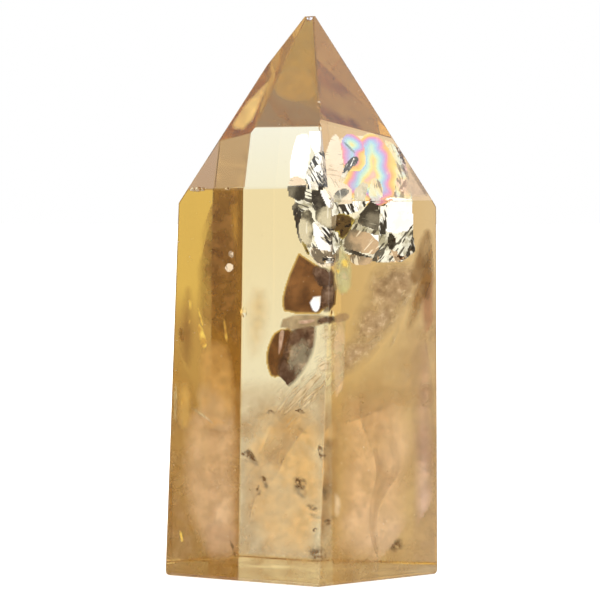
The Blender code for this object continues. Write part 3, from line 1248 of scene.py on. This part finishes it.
MAUVE_CRACKS = Cracks(
    Family.MAUVE,
    GrittyFinish("grainy_crack", ((0.0, (0.07, 0.032, 0.015)), (0.45, (0.13, 0.066, 0.036)),
                 (0.8, (0.19, 0.108, 0.064)), (1.0, (0.34, 0.22, 0.14))), scale=700.0, patches=300.0,
                 least=0.75, bump=0.05),
    (
        Sheet("grainy_half", ((-2.2, 34.9), (2.6, 36.0), (2.5, 32.7), (1.8, 30.2), (0.0, 27.4),
              (-2.06, 25.6), (-4.2, 27.2), (-3.2, 30.0)), 1.5, LEFT_SIDE, GRITTY, 60.0, soften=0.6),
        Sheet("tongue_fibres", ((1.9, 44.2), (4.7, 43.4), (4.7, 40.9), (2.9, 40.4), (1.7, 42.4)),
              1.2, LEFT_SIDE, GRITTY, -50.0, soften=0.4),
        Sheet("speckled_side", ((3.0, 41.2), (4.7, 41.6), (4.7, 37.0), (3.0, 37.0)), 1.0, LEFT_SIDE, GRITTY,
              soften=0.3),
        Sheet("dark_seam", ((2.4, 36.3), (4.7, 36.8), (4.7, 35.5), (2.5, 35.2)), 1.2, LEFT_SIDE, CALM,
              25.0, soften=0.3),
    ),
)

CRUSHED_CRACKS = Cracks(
    Family.CRUSHED,
    GrittyFinish("crushed_crack", ((0.0, (0.3, 0.175, 0.09)), (0.35, (0.43, 0.28, 0.155)),
                 (0.75, (0.53, 0.365, 0.215)), (1.0, (0.78, 0.6, 0.4))), scale=800.0, patches=300.0,
                 patchy=(0.3, 0.62), least=0.5, most=0.85, bump=0.0),
    (
        Sheet("crushed", ((10.5, 44.4), (13.9, 44.9), (17.5, 44.4), (18.0, 41.5), (16.3, 37.1),
              (14.2, 34.8), (12.5, 32.2), (7.3, 32.2), (6.6, 34.2), (8.4, 38.9)), 2.4, RIGHT_SIDE, GRITTY,
              -45.0, soften=2.2),
        Sheet("crushed_tail", ((6.6, 34.4), (12.6, 33.0), (9.5, 29.0), (5.2, 26.5), (4.9, 30.0)),
              2.0, RIGHT_SIDE, GRITTY, -45.0, soften=2.0),
    ),
)

FIBRES_CRACKS = Cracks(
    Family.FIBRES,
    GrittyFinish("fibrous_crack", ((0.0, (0.15, 0.075, 0.03)), (0.35, (0.36, 0.22, 0.1)),
                 (0.6, (0.56, 0.39, 0.2)), (0.85, (0.86, 0.7, 0.46))), fibres=0.3, patches=260.0,
                 patchy=(0.38, 0.6), least=0.15, most=0.85, bump=0.08),
    (
        Sheet("low_fibres", ((-4.0, 28.2), (-1.0, 29.0), (1.6, 29.5), (0.4, 25.5), (-2.6, 23.6),
              (-4.6, 25.2)), 1.4, LEFT_SIDE, CALM, -35.0, soften=0.9),
        Sheet("right_of_tongue", ((2.6, 35.2), (4.6, 36.0), (4.6, 28.5), (1.8, 28.0)), 1.7, LEFT_SIDE, CALM,
              -60.0, soften=0.6),
        Sheet("fibres_high", ((15.6, 45.8), (16.8, 45.0), (16.0, 38.0), (13.0, 33.8), (5.0, 26.8),
              (5.0, 29.0), (11.4, 37.0)), 1.8, RIGHT_SIDE, GRITTY, -42.0, soften=1.0),
        Sheet("fibres_low", ((4.4, 30.8), (4.4, 25.2), (-5.8, 16.6), (-7.3, 17.4), (-3.5, 23.5),
              (1.6, 28.8)), 1.3, LEFT_SIDE, GRITTY, -42.0, soften=0.8),
        Sheet("bright_edge", ((14.5, 36.0), (13.9, 35.0), (12.7, 32.0), (13.3, 31.9), (14.4, 34.2),
              (14.9, 36.0)), 1.3, RIGHT_SIDE, SMOOTH, -20.0, soften=0.15),
    ),
)

SMOKE_CRACKS = Cracks(
    Family.SMOKE,
    VeilFinish("smoke", (0.6, 0.32, 0.085), (0.36, 0.17, 0.035), 190.0, (0.36, 0.64), 0.6, 0.9),
    (
        Sheet("smoke_band", ((-14.9, 55.0), (-8.75, 55.0), (-8.4, 31.5), (-15.0, 36.0)), 1.4, LEVEL, SMOOTH,
              soften=1.1, rounds=0),
        Sheet("smoke_core", ((-14.4, 54.9), (-10.0, 54.9), (-10.6, 38.0), (-14.6, 40.0)), 1.1, LEVEL,
              SMOOTH, soften=1.6),
        Sheet("dark_spot", ((-17.8, 34.8), (-16.9, 35.1), (-16.5, 32.8), (-17.5, 32.6)), 0.9, LEVEL, CALM,
              soften=0.3),
        Sheet("dark_streak", ((17.2, 43.5), (19.3, 48.5), (19.8, 46.0), (19.7, 40.5), (16.8, 35.0),
              (15.4, 34.0), (15.1, 36.2)), 1.6, LEVEL, CALM, soften=0.9),
        Sheet("seam_shade", ((-19.0, 18.5), (-18.3, 18.5), (-18.3, 0.5), (-19.3, 0.5)), 0.5, LEVEL, CALM,
              soften=0.4),
    ),
)

# Painted light and shade: each of these sheets is a blurred mirror whose tone stands in for the light seen
# through the stone at its place; the pale ones are painted light, the darker ones painted shade.
SHEETS_OF_PAINTED_LIGHT_AND_SHADE = Cracks(
    Family.SHEEN,
    PaintedLightShadeFinish("soft_sheen"),
    (
        Sheet("left_cloud", ((-17.4, 20.5), (-15.5, 23.8), (-8.6, 25.0), (-8.5, 1.5), (-13.5, 1.5),
              (-17.2, 8.0)), 4.0, LEFT_SIDE, SMOOTH, soften=2.2, cell=0.3, tone=(0.64, 0.43, 0.26)),
        Sheet("left_wisp", ((-15.6, 26.5), (-12.5, 27.5), (-8.8, 23.5), (-9.5, 19.0), (-14.2, 20.5)),
              2.5, LEFT_SIDE, SMOOTH, soften=2.0, cell=0.3, tone=(0.72, 0.52, 0.33)),
        Sheet("left_low", ((-14.9, 33.6), (-10.4, 33.2), (-9.4, 29.6), (-8.9, 20.0), (-14.9, 20.0)),
              3.0, LEFT_SIDE, SMOOTH, soften=1.2, cell=0.3, tone=(0.52, 0.29, 0.09)),
        Sheet("gold_strip", ((-10.6, 55.0), (-8.7, 55.0), (-8.7, 46.5), (-9.8, 46.5)), 0.9, LEFT_SIDE, CALM,
              soften=0.8, cell=0.2, tone=(0.44, 0.22, 0.035)),
        Sheet("strip_glow", ((-17.9, 27.0), (-15.6, 27.0), (-15.6, 20.0), (-17.9, 20.0)), 1.5, LEFT_SIDE,
              CALM, soften=1.0, cell=0.3, tone=(0.62, 0.37, 0.1)),
        Sheet("left_shade", ((-17.2, 41.0), (-15.2, 41.0), (-15.2, 28.0), (-17.8, 28.0)), 1.2, LEFT_SIDE,
              CALM, soften=1.3, cell=0.3, tone=(0.22, 0.1, 0.025)),
        Sheet("middle_cloud", ((-8.2, 23.5), (4.3, 24.5), (4.5, 1.0), (-8.2, 1.5)), 4.2, LEFT_SIDE, SMOOTH,
              soften=2.6, cell=0.3, tone=(0.66, 0.44, 0.21)),
        Sheet("tan_cloud", ((-8.1, 41.5), (-3.6, 40.5), (-4.8, 31.0), (-8.1, 29.0)), 3.0, LEFT_SIDE, SMOOTH,
              soften=2.4, cell=0.3, tone=(0.6, 0.44, 0.22)),
        Sheet("right_cloud", ((5.2, 25.5), (9.5, 25.5), (15.6, 26.0), (16.4, 18.0), (15.8, 1.5),
              (5.4, 1.5)), 4.0, RIGHT_SIDE, SMOOTH, soften=3.4, cell=0.3, tone=(0.66, 0.43, 0.24)),
        Sheet("right_foot", ((4.9, 9.5), (15.8, 9.5), (15.8, 0.6), (4.9, 0.6)), 1.8, RIGHT_SIDE, SMOOTH,
              soften=2.6, cell=0.3, tone=(0.64, 0.43, 0.25)),
        Sheet("left_foot", ((-14.5, 7.0), (-8.6, 7.0), (-8.6, 0.8), (-14.5, 0.8)), 1.8, LEFT_SIDE, SMOOTH,
              soften=1.5, cell=0.3, tone=(0.5, 0.31, 0.17)),
        Sheet("bright_cloud", ((11.5, 24.5), (16.5, 24.0), (17.3, 17.0), (14.5, 11.5), (11.0, 15.0)),
              2.5, RIGHT_SIDE, SMOOTH, soften=3.0, cell=0.3, tone=(0.68, 0.46, 0.26)),
        Sheet("white_cloud", ((4.9, 11.6), (6.4, 9.6), (5.7, 7.0), (4.9, 7.0)), 1.5, RIGHT_SIDE, SMOOTH,
              soften=0.8, cell=0.3, tone=(0.8, 0.63, 0.42)),
        Sheet("rose_edge", ((16.4, 30.0), (19.5, 34.5), (19.6, 1.0), (16.6, 1.0)), 2.5, RIGHT_SIDE, SMOOTH,
              soften=1.4, cell=0.3, tone=(0.59, 0.395, 0.28)),
        Sheet("umber_streak", ((17.6, 49.3), (19.3, 49.3), (19.5, 45.6), (19.2, 43.6), (16.8, 40.4),
              (15.7, 41.6), (15.8, 42.8)), 1.6, RIGHT_SIDE, CALM, soften=0.7, cell=0.3,
              tone=(0.22, 0.11, 0.035)),
        Sheet("edge_shade", ((17.6, 44.5), (19.7, 44.5), (19.7, 33.0), (17.2, 34.0)), 1.3, RIGHT_SIDE, CALM,
              soften=0.8, cell=0.3, tone=(0.36, 0.18, 0.085)),
        Sheet("green_pane", ((4.9, 49.5), (6.0, 47.4), (7.7, 44.2), (7.6, 39.8), (4.9, 39.5)),
              1.6, RIGHT_SIDE, CALM, soften=0.5, cell=0.3, tone=(0.54, 0.49, 0.21)),
        Sheet("peach_pane", ((4.9, 36.4), (6.7, 36.2), (6.4, 24.6), (4.9, 24.0)), 1.4, RIGHT_SIDE, CALM,
              soften=0.2, cell=0.3, tone=(0.63, 0.42, 0.22)),
        Sheet("under_tongue", ((-2.4, 36.9), (4.7, 36.9), (4.7, 35.3), (-3.2, 34.1)), 1.6, LEFT_SIDE, CALM,
              soften=0.3, cell=0.2, tone=(0.34, 0.23, 0.115)),
        Sheet("umber_bar", ((4.9, 36.9), (7.2, 37.2), (7.4, 35.9), (4.9, 35.2)), 1.0, RIGHT_SIDE, CALM,
              soften=0.3, cell=0.2, tone=(0.3, 0.18, 0.09)),
        Sheet("crown_gold", ((-10.3, 63.5), (-9.0, 66.2), (-5.2, 70.2), (-4.2, 70.6), (-7.3, 63.2)),
              2.0, LEFT_CROWN, SMOOTH, soften=0.5, cell=0.3, tone=(0.84, 0.55, 0.17)),
        Sheet("crown_olive", ((-0.9, 76.6), (0.3, 78.8), (1.6, 78.8), (2.2, 72.0), (-2.9, 72.0)),
              1.2, LEFT_CROWN, CALM, soften=0.4, rounds=0, cell=0.3, tone=(0.37, 0.2, 0.025)),
        Sheet("crown_umber", ((-2.8, 72.4), (2.2, 72.4), (2.6, 67.6), (-1.6, 67.2), (-4.2, 68.9)),
              1.4, LEFT_CROWN, CALM, soften=0.5, cell=0.3, tone=(0.4, 0.21, 0.03)),
        Sheet("crown_rose", ((15.4, 58.3), (16.6, 58.6), (19.7, 53.8), (14.8, 53.6)), 2.0, RIGHT_CROWN,
              SMOOTH, soften=0.5, cell=0.3, tone=(0.5, 0.35, 0.24)),
    ),
)

ROSE_CRACKS = Cracks(
    Family.ROSE,
    VeilFinish("rose_haze", (0.8, 0.52, 0.38), (0.5, 0.3, 0.2), 260.0, (0.34, 0.66), 0.1, 0.34),
    (
        Sheet("rose_band", ((15.8, 30.5), (19.8, 40.0), (19.9, 0.3), (16.4, 0.3)), 1.5, LEVEL, SMOOTH,
              soften=0.6, rounds=0),
        Sheet("rose_foot", ((-19.2, 12.0), (-15.0, 9.0), (-14.0, 0.4), (-19.2, 0.4)), 1.5, LEVEL, SMOOTH,
              soften=2.0),
    ),
)

PALE_CRACKS = Cracks(
    Family.PALE,
    GrittyFinish("pale_crack", ((0.0, (0.55, 0.4, 0.22)), (0.4, (0.66, 0.56, 0.3)),
                 (0.6, (0.62, 0.6, 0.36)), (0.85, (0.85, 0.66, 0.44))), scale=380.0, patches=300.0,
                 least=0.25, most=0.5, bump=0.0),
    (
        Sheet("green_window", ((4.75, 50.2), (6.2, 47.4), (7.7, 44.2), (7.4, 40.3), (4.6, 40.0)),
              1.4, RIGHT_SIDE, CALM, soften=0.9, rounds=0),
        Sheet("low_pane", ((4.5, 36.5), (6.7, 36.2), (6.4, 24.6), (4.5, 24.0)), 1.2, RIGHT_SIDE, CALM,
              soften=0.15, rounds=0),
        Sheet("gold_edge", ((-18.3, 27.2), (-17.7, 26.7), (-17.9, 20.3), (-18.4, 20.0)), 0.7, LEFT_SIDE,
              CALM, soften=0.1),
        Sheet("ridge_high", ((-16.6, 23.6), (-14.6, 22.9), (-12.3, 20.9), (-12.6, 20.6), (-14.9, 22.4)),
              0.9, LEFT_SIDE, CALM, soften=0.12),
    ),
)

AMBER_CRACKS = Cracks(
    Family.AMBER,
    MirrorFinish("amber_fleck", tint=(0.85, 0.6, 0.12), shade=(0.5, 0.26, 0.05), clouds=900.0, most=0.9),
    (
        Sheet("amber_blob", ((-15.0, 35.5), (-14.2, 35.4), (-13.3, 32.4), (-13.7, 31.8), (-14.4, 31.9)),
              1.0, LEFT_SIDE, CALM, soften=0.25),
        Sheet("amber_line", ((-15.0, 37.9), (-14.6, 37.8), (-13.8, 35.1), (-14.3, 35.1)), 1.0, LEFT_SIDE,
              CALM, soften=0.2),
        Sheet("pale_streak", ((-11.2, 36.2), (-10.8, 36.2), (-10.3, 32.8), (-10.8, 32.6)), 1.0, LEFT_SIDE,
              CALM, soften=0.2),
        Sheet("small_amber", ((-16.3, 35.9), (-15.8, 36.0), (-15.9, 35.1)), 0.8, LEFT_SIDE, CALM,
              soften=0.15),
        Sheet("amber_spot", ((-17.3, 24.9), (-16.7, 24.9), (-16.8, 23.5), (-17.2, 23.6)), 0.8, LEFT_SIDE,
              CALM, soften=0.25),
        Sheet("orange_streak", ((-16.2, 39.0), (-15.7, 39.0), (-15.6, 37.4), (-16.1, 37.3)), 0.8, LEFT_SIDE,
              CALM, soften=0.25),
        Sheet("cream_streak", ((-17.6, 5.4), (-17.2, 5.4), (-16.8, 3.7), (-17.4, 3.5)), 0.7, LEFT_SIDE,
              CALM, soften=0.2),
        Sheet("orange_mark", ((5.8, 44.9), (7.2, 44.9), (7.1, 43.3), (6.0, 43.5)), 0.9, RIGHT_SIDE, CALM,
              soften=0.4),
        Sheet("orange_speck", ((5.0, 43.4), (6.0, 43.4), (5.6, 42.3)), 0.8, RIGHT_SIDE, CALM, soften=0.3),
    ),
)

BROWN_CRACKS = Cracks(
    Family.BROWN,
    VeilFinish("brown_fleck", (0.3, 0.15, 0.06), (0.11, 0.05, 0.02), 1500.0, (0.38, 0.56), 0.2, 0.95),
    (
        Sheet("triangle", ((-8.6, 16.5), (-7.2, 17.3), (-6.1, 15.3), (-7.4, 15.8)), 1.0, LEVEL, CALM,
              rounds=0),
        Sheet("high_arc", ((-5.2, 22.3), (-4.2, 23.1), (-3.5, 22.4), (-4.3, 22.3)), 1.0, LEVEL, CALM),
        Sheet("near_arc", ((-0.9, 22.7), (0.2, 23.2), (0.9, 22.1), (0.0, 22.5)), 1.0, LEVEL, CALM),
        Sheet("chain_top", ((-5.9, 13.3), (-5.0, 13.4), (-4.6, 12.6), (-5.4, 12.2)), 1.0, LEVEL, CRUMPLED,
              soften=0.2),
        Sheet("chain_low", ((-6.6, 11.2), (-6.1, 12.2), (-5.7, 11.9), (-6.0, 10.8)), 1.0, LEVEL, CRUMPLED,
              soften=0.2),
        Sheet("scale", ((2.4, 17.7), (3.2, 17.9), (3.6, 15.9), (2.9, 15.3)), 0.9, LEVEL, CRUMPLED,
              soften=0.15),
        Sheet("moss", ((-1.5, 12.9), (0.0, 13.5), (1.3, 12.6), (0.7, 10.9), (-0.8, 11.5)), 1.1, LEVEL,
              CRUMPLED, soften=0.5),
        Sheet("moss_low", ((0.5, 9.2), (1.9, 9.3), (3.0, 8.4), (1.8, 7.9)), 1.1, LEVEL, CRUMPLED,
              soften=0.4),
        Sheet("fleck_right", ((3.3, 6.8), (4.4, 7.2), (4.7, 6.2), (3.8, 5.9)), 1.0, LEVEL, CRUMPLED,
              soften=0.2),
        Sheet("fleck_left", ((1.7, 5.6), (2.5, 5.9), (2.7, 5.1), (1.9, 4.8)), 1.0, LEVEL, CRUMPLED,
              soften=0.2),
        Sheet("foot_moss", ((0.8, 3.0), (3.4, 3.2), (3.9, 0.6), (1.4, 0.5)), 1.0, LEVEL, CRUMPLED,
              soften=0.9),
        Sheet("grey_patch", ((12.4, 4.0), (14.9, 4.6), (15.4, 2.4), (12.9, 1.7)), 1.2, LEVEL, CRUMPLED,
              soften=0.7),
        Sheet("left_streak", ((-10.4, 3.9), (-9.8, 3.9), (-9.1, 1.4), (-9.5, 1.1)), 1.0, LEVEL, CALM,
              soften=0.25),
    ),
)

FRACTURES: tuple[Cracks, ...] = (
    WHITE_CRACKS,
    CREAM_CRACKS,
    SPLINTER_CRACKS,
    RAINBOW_CRACKS,
    FRINGE_CRACKS,
    STRIPED_CRACKS,
    GREY_CRACKS,
    TAN_CRACKS,
    PAINTED_SHADE_CRACKS,
    GOLD_CRACKS,
    STAINED_CRACKS,
    BLUSH_CRACKS,
    MAUVE_CRACKS,
    CRUSHED_CRACKS,
    FIBRES_CRACKS,
    SMOKE_CRACKS,
    SHEETS_OF_PAINTED_LIGHT_AND_SHADE,
    ROSE_CRACKS,
    PALE_CRACKS,
    AMBER_CRACKS,
    BROWN_CRACKS,
)


@dataclass
class Haze:
    """The cloudy lower half: wide soft veils that lean every way, thinning out at a slanting level."""

    spots: tuple[Triple, ...] = (
        (-11.0, 24.0, 8.0),
        (-5.5, -18.0, -10.0),
        (0.5, 12.0, 14.0),
        (6.0, -26.0, -6.0),
        (11.5, 17.0, 9.0),
    )
    border: tuple[Point, ...] = (
        (-20.0, 22.0), (-8.0, 25.0), (4.0, 26.0), (9.0, 29.0), (14.0, 34.0), (20.0, 40.0),
    )
    soften: float = 5.0
    cell: float = 0.7
    half: float = 30.0
    raised: float = 0.7
    swell: float = 2.2
    swell_size: float = 9.0
    swell_step: float = 5.1
    stray: float = 3.0
    stray_size: float = 6.0
    stray_step: float = 3.3
    finish: VeilFinish = VeilFinish(
        "haze", (1.0, 0.78, 0.5), (0.8, 0.55, 0.3), 210.0, (0.32, 0.68), 0.1, 0.34, roughness=0.8
    )

    def level(self, across: float) -> float:
        """The height in millimetres at which the haze has thinned out by half.

        Args:
            across: Millimetres to the right of the axis.

        Returns:
            The height.
        """
        for (left, low), (right, high) in zip(self.border, self.border[1:]):
            if across <= right:
                share = max(0.0, (across - left) / (right - left))
                return low + (high - low) * share
        return self.border[-1][1]

    def veil(self, number: int, spot: Triple, sight: Sightlines) -> bpy.types.Object:
        """Makes one veil.

        Args:
            number: Its place in the row, from the front.
            spot: How far back it stands in millimetres, its turn and its lean in degrees.
            sight: The sightlines, which know the stone's facets.

        Returns:
            The veil, trimmed to the stone.
        """
        back, turn, lean = spot
        steps = round(self.half * 2.0 / self.cell)
        Bench.clear()
        bpy.ops.mesh.primitive_grid_add(
            x_subdivisions=steps,
            y_subdivisions=steps,
            size=self.half * 2.0 * MM,
            location=(0.0, back * MM, self.half * self.raised * MM),
            rotation=(math.radians(90.0 + lean), 0.0, math.radians(turn)),
        )
        piece = bpy.context.object
        piece.name = f"veil_{number}"
        Bench.settle(piece)
        facing = piece.data.polygons[0].normal.copy()
        fades = piece.data.attributes.new("fade", "FLOAT", "POINT").data
        for count, vert in enumerate(piece.data.vertices):
            place = vert.co / MM
            shift = Vector((number * self.swell_step, 0.0, 0.0))
            high = self.swell * noise.noise(place / self.swell_size + shift)
            vert.co += facing * high * MM
            shift = Vector((0.0, number * self.stray_step, 0.0))
            stray = self.stray * noise.noise(place / self.stray_size + shift)
            gap = (self.level(place.x) + stray - place.z) / self.soften + 0.5
            fades[count].value = min(1.0, max(0.0, gap))
        Sheet.trim(piece, sight)
        return piece

    def build(self, sight: Sightlines, effects: Effects) -> bpy.types.Object:
        """Builds and dresses the haze.

        Args:
            sight: The sightlines into the stone.
            effects: The shared node groups.

        Returns:
            The joined veils.
        """
        veils = [self.veil(number, spot, sight) for number, spot in enumerate(self.spots)]
        piece = Bench.join(veils, "pale_haze")
        Bench.dress(piece, self.finish.material(effects))
        return piece


@dataclass
class Dust:
    """Fine bright grains just under the skin, as the polish and the light show them."""

    seed: int = 11
    count: int = 260
    across: Point = (-19.0, 19.5)
    up: Point = (1.0, 70.0)
    uneven: float = 0.6
    knob_step: float = 1.7
    sizes: Point = (0.035, 0.1)
    depths: Point = (0.3, 1.6)
    finish: SpeckFinish = SpeckFinish("dust", (1.0, 0.97, 0.9), (0.9, 0.75, 0.5))

    def grain(self, number: int, place: Vector, size: float) -> bpy.types.Object:
        """Makes one uneven grain.

        Args:
            number: Its number, which shifts its shape.
            place: Its middle.
            size: Its radius in millimetres.

        Returns:
            The grain.
        """
        Bench.clear()
        bpy.ops.mesh.primitive_ico_sphere_add(subdivisions=1, radius=size * MM, location=place)
        piece = bpy.context.object
        piece.name = f"grain_{number}"
        for vert in piece.data.vertices:
            knob = noise.noise(vert.co / (size * MM) + Vector((number * self.knob_step, 0.0, 0.0)))
            vert.co *= 1.0 + self.uneven * knob
        Bench.settle(piece)
        return piece

    def build(self, sight: Sightlines, effects: Effects) -> bpy.types.Object:
        """Scatters, joins and dresses the grains.

        Args:
            sight: The sightlines into the stone.
            effects: The shared node groups.

        Returns:
            The joined grains.
        """
        chance = random.Random(self.seed)
        grains: list[bpy.types.Object] = []
        while len(grains) < self.count:
            across, up = chance.uniform(*self.across) * MM, chance.uniform(*self.up) * MM
            hit = sight.tree.ray_cast(EYE, sight.ray(across, up))[0]
            if hit is None:
                continue
            start, inward = sight.enter(across, up, sight.facet(across, up))
            place = start + inward * chance.uniform(*self.depths) * MM
            if sight.inside(place):
                size = self.sizes[0] + (self.sizes[1] - self.sizes[0]) * chance.random() ** 3
                grains.append(self.grain(len(grains), place, size))
        piece = Bench.join(grains, "bright_dust")
        Bench.dress(piece, self.finish.material(effects))
        return piece


@dataclass(frozen=True)
class Glow:
    """A patch of the studio's surroundings, as a bearing, its two radii and its light."""

    azimuth: float
    elevation: float
    inner: float
    outer: float
    light: Colour


ROOM: Colour = (0.52, 0.44, 0.38)
GLOWS: tuple[Glow, ...] = (
    Glow(0.0, 80.0, 38.0, 60.0, (1.5, 1.5, 1.5)),
    Glow(180.0, -8.0, 28.0, 44.0, (1.6, 1.4, 1.15)),
    Glow(0.0, 12.0, 34.0, 42.0, (1.03, 1.0, 0.94)),
    Glow(0.0, -24.0, 14.0, 22.0, (1.03, 1.13, 1.4)),
    Glow(174.0, 38.0, 24.0, 36.0, (1.3, 1.3, 1.3)),
    Glow(-52.0, -6.0, 12.0, 20.0, (0.8, 0.62, 0.42)),
    Glow(-53.0, -27.0, 10.0, 16.0, (0.87, 0.66, 0.5)),
    Glow(113.6, -10.0, 10.0, 16.0, (0.66, 0.5, 0.32)),
    Glow(113.6, -5.5, 1.4, 2.6, (0.92, 0.78, 0.42)),
    Glow(-125.0, -9.0, 8.0, 14.0, (0.42, 0.3, 0.18)),
    Glow(-122.0, -28.0, 8.0, 13.0, (0.76, 0.73, 1.2)),
    Glow(115.0, -26.0, 7.0, 12.0, (0.6, 0.5, 0.72)),
    Glow(0.0, -68.0, 30.0, 38.0, (0.5, 0.3, 0.05)),
    Glow(127.0, -48.0, 12.0, 18.0, (0.43, 0.43, 0.95)),
    Glow(-100.0, -41.0, 7.0, 12.0, (0.95, 0.9, 1.0)),
    Glow(88.0, -24.0, 8.0, 14.0, (0.56, 0.48, 0.6)),
    Glow(-97.0, -17.0, 10.0, 16.0, (0.65, 0.59, 0.72)),
    Glow(40.0, -72.0, 18.0, 28.0, (0.54, 0.34, 0.01)),
    Glow(87.0, 48.0, 16.0, 26.0, (2.2, 2.2, 2.2)),
)


@dataclass
class Studio:
    """The white sweep, the soft light and the camera."""

    backdrop: float = 1.0
    floor_half: float = 4.0
    floor_drop: float = 0.05 * MM
    floor_tone: Colour = (0.92, 0.92, 0.92)
    floor_glow: float = 0.7
    floor_roughness: float = 0.9
    lamp_power: float = 0.25
    lamp_size: float = 0.5
    lamp_place: Triple = (0.1, -0.3, 0.7)
    lamp_turn: Triple = (24.0, 0.0, 18.0)
    nearest: float = 0.01

    def sky(self) -> None:
        """Lights the stone by patches of light and shade, and shows the camera plain white."""
        world = bpy.data.worlds.new("studio")
        bpy.context.scene.world = world
        world.use_nodes = True
        hand = Shade(world.node_tree)
        world.node_tree.nodes.clear()
        bearing = hand.add("TexCoord").outputs["Generated"]
        light: object = ROOM
        for glow in GLOWS:
            centre = tuple(aim(glow.azimuth, glow.elevation))
            near = hand.add("VectorMath", {0: bearing, 1: centre}, operation="DOT_PRODUCT")
            edge, heart = (math.cos(math.radians(part)) for part in (glow.outer, glow.inner))
            light = hand.blend(hand.span(near.outputs["Value"], edge, heart), light, glow.light)
        seen = hand.add("LightPath").outputs["Is Camera Ray"]
        white = hand.blend(seen, light, (self.backdrop,) * 3)
        shine = hand.add("Background", {"Color": white})
        output = hand.add("OutputWorld")
        hand.set(output.inputs["Surface"], shine.outputs[0])

    def floor(self) -> None:
        """Lays the plain pale floor, which the camera sees and the stone does not bend."""
        Bench.clear()
        bpy.ops.mesh.primitive_plane_add(size=self.floor_half * 2, location=(0.0, 0.0, -self.floor_drop))
        floor = bpy.context.object
        floor.name = "floor"
        Bench.settle(floor)
        material, hand, shader = Shade.material("pale_floor")
        hand.set(shader.inputs["Base Color"], opaque(self.floor_tone))
        hand.set(shader.inputs["Roughness"], self.floor_roughness)
        hand.set(shader.inputs["Specular IOR Level"], 0.0)
        hand.set(shader.inputs["Emission Color"], opaque((1.0, 1.0, 1.0)))
        hand.set(shader.inputs["Emission Strength"], self.floor_glow)
        floor.data.materials.append(material)
        floor.visible_transmission = False
        floor.visible_glossy = False
        floor.visible_diffuse = False

    def lamp(self) -> None:
        """Hangs one soft light above and to the front, which lights the floor."""
        Bench.clear()
        bpy.ops.object.light_add(type="AREA", location=self.lamp_place)
        lamp = bpy.context.object
        lamp.name = "soft_light"
        lamp.data.energy = self.lamp_power
        lamp.data.size = self.lamp_size
        lamp.rotation_euler = [math.radians(turn) for turn in self.lamp_turn]
        lamp.visible_camera = False
        lamp.visible_transmission = False
        lamp.visible_glossy = False

    def camera(self) -> None:
        """Stands the camera where the photograph was taken from."""
        Bench.clear()
        bpy.ops.object.camera_add(location=EYE, rotation=(math.radians(90.0 - LOOKS_DOWN), 0.0, 0.0))
        camera = bpy.context.object
        camera.data.lens = LENS
        camera.data.sensor_width = SENSOR
        camera.data.clip_start = self.nearest
        bpy.context.scene.camera = camera

    def build(self) -> None:
        """Sets up the whole studio and how its light is worked out."""
        self.sky()
        self.floor()
        self.lamp()
        self.camera()
        scene = bpy.context.scene
        scene.view_settings.view_transform = "Standard"
        cycles = scene.cycles
        cycles.use_denoising = True
        cycles.max_bounces = 40
        cycles.transmission_bounces = 32
        cycles.glossy_bounces = 24
        cycles.diffuse_bounces = 4
        cycles.transparent_max_bounces = 96


def main() -> None:
    """Builds the dressed tower and its studio."""
    effects = Effects()
    stone = PolishedStone().build()
    sight = Sightlines(stone)
    pieces = [stone]
    for maker in (*FRACTURES, Haze(), Dust()):
        pieces.append(maker.build(sight, effects))
    for piece in pieces:
        LOG.info("%s: %d faces", piece.name, len(piece.data.polygons))
    Studio().build()


if __name__ == "__main__":
    main()
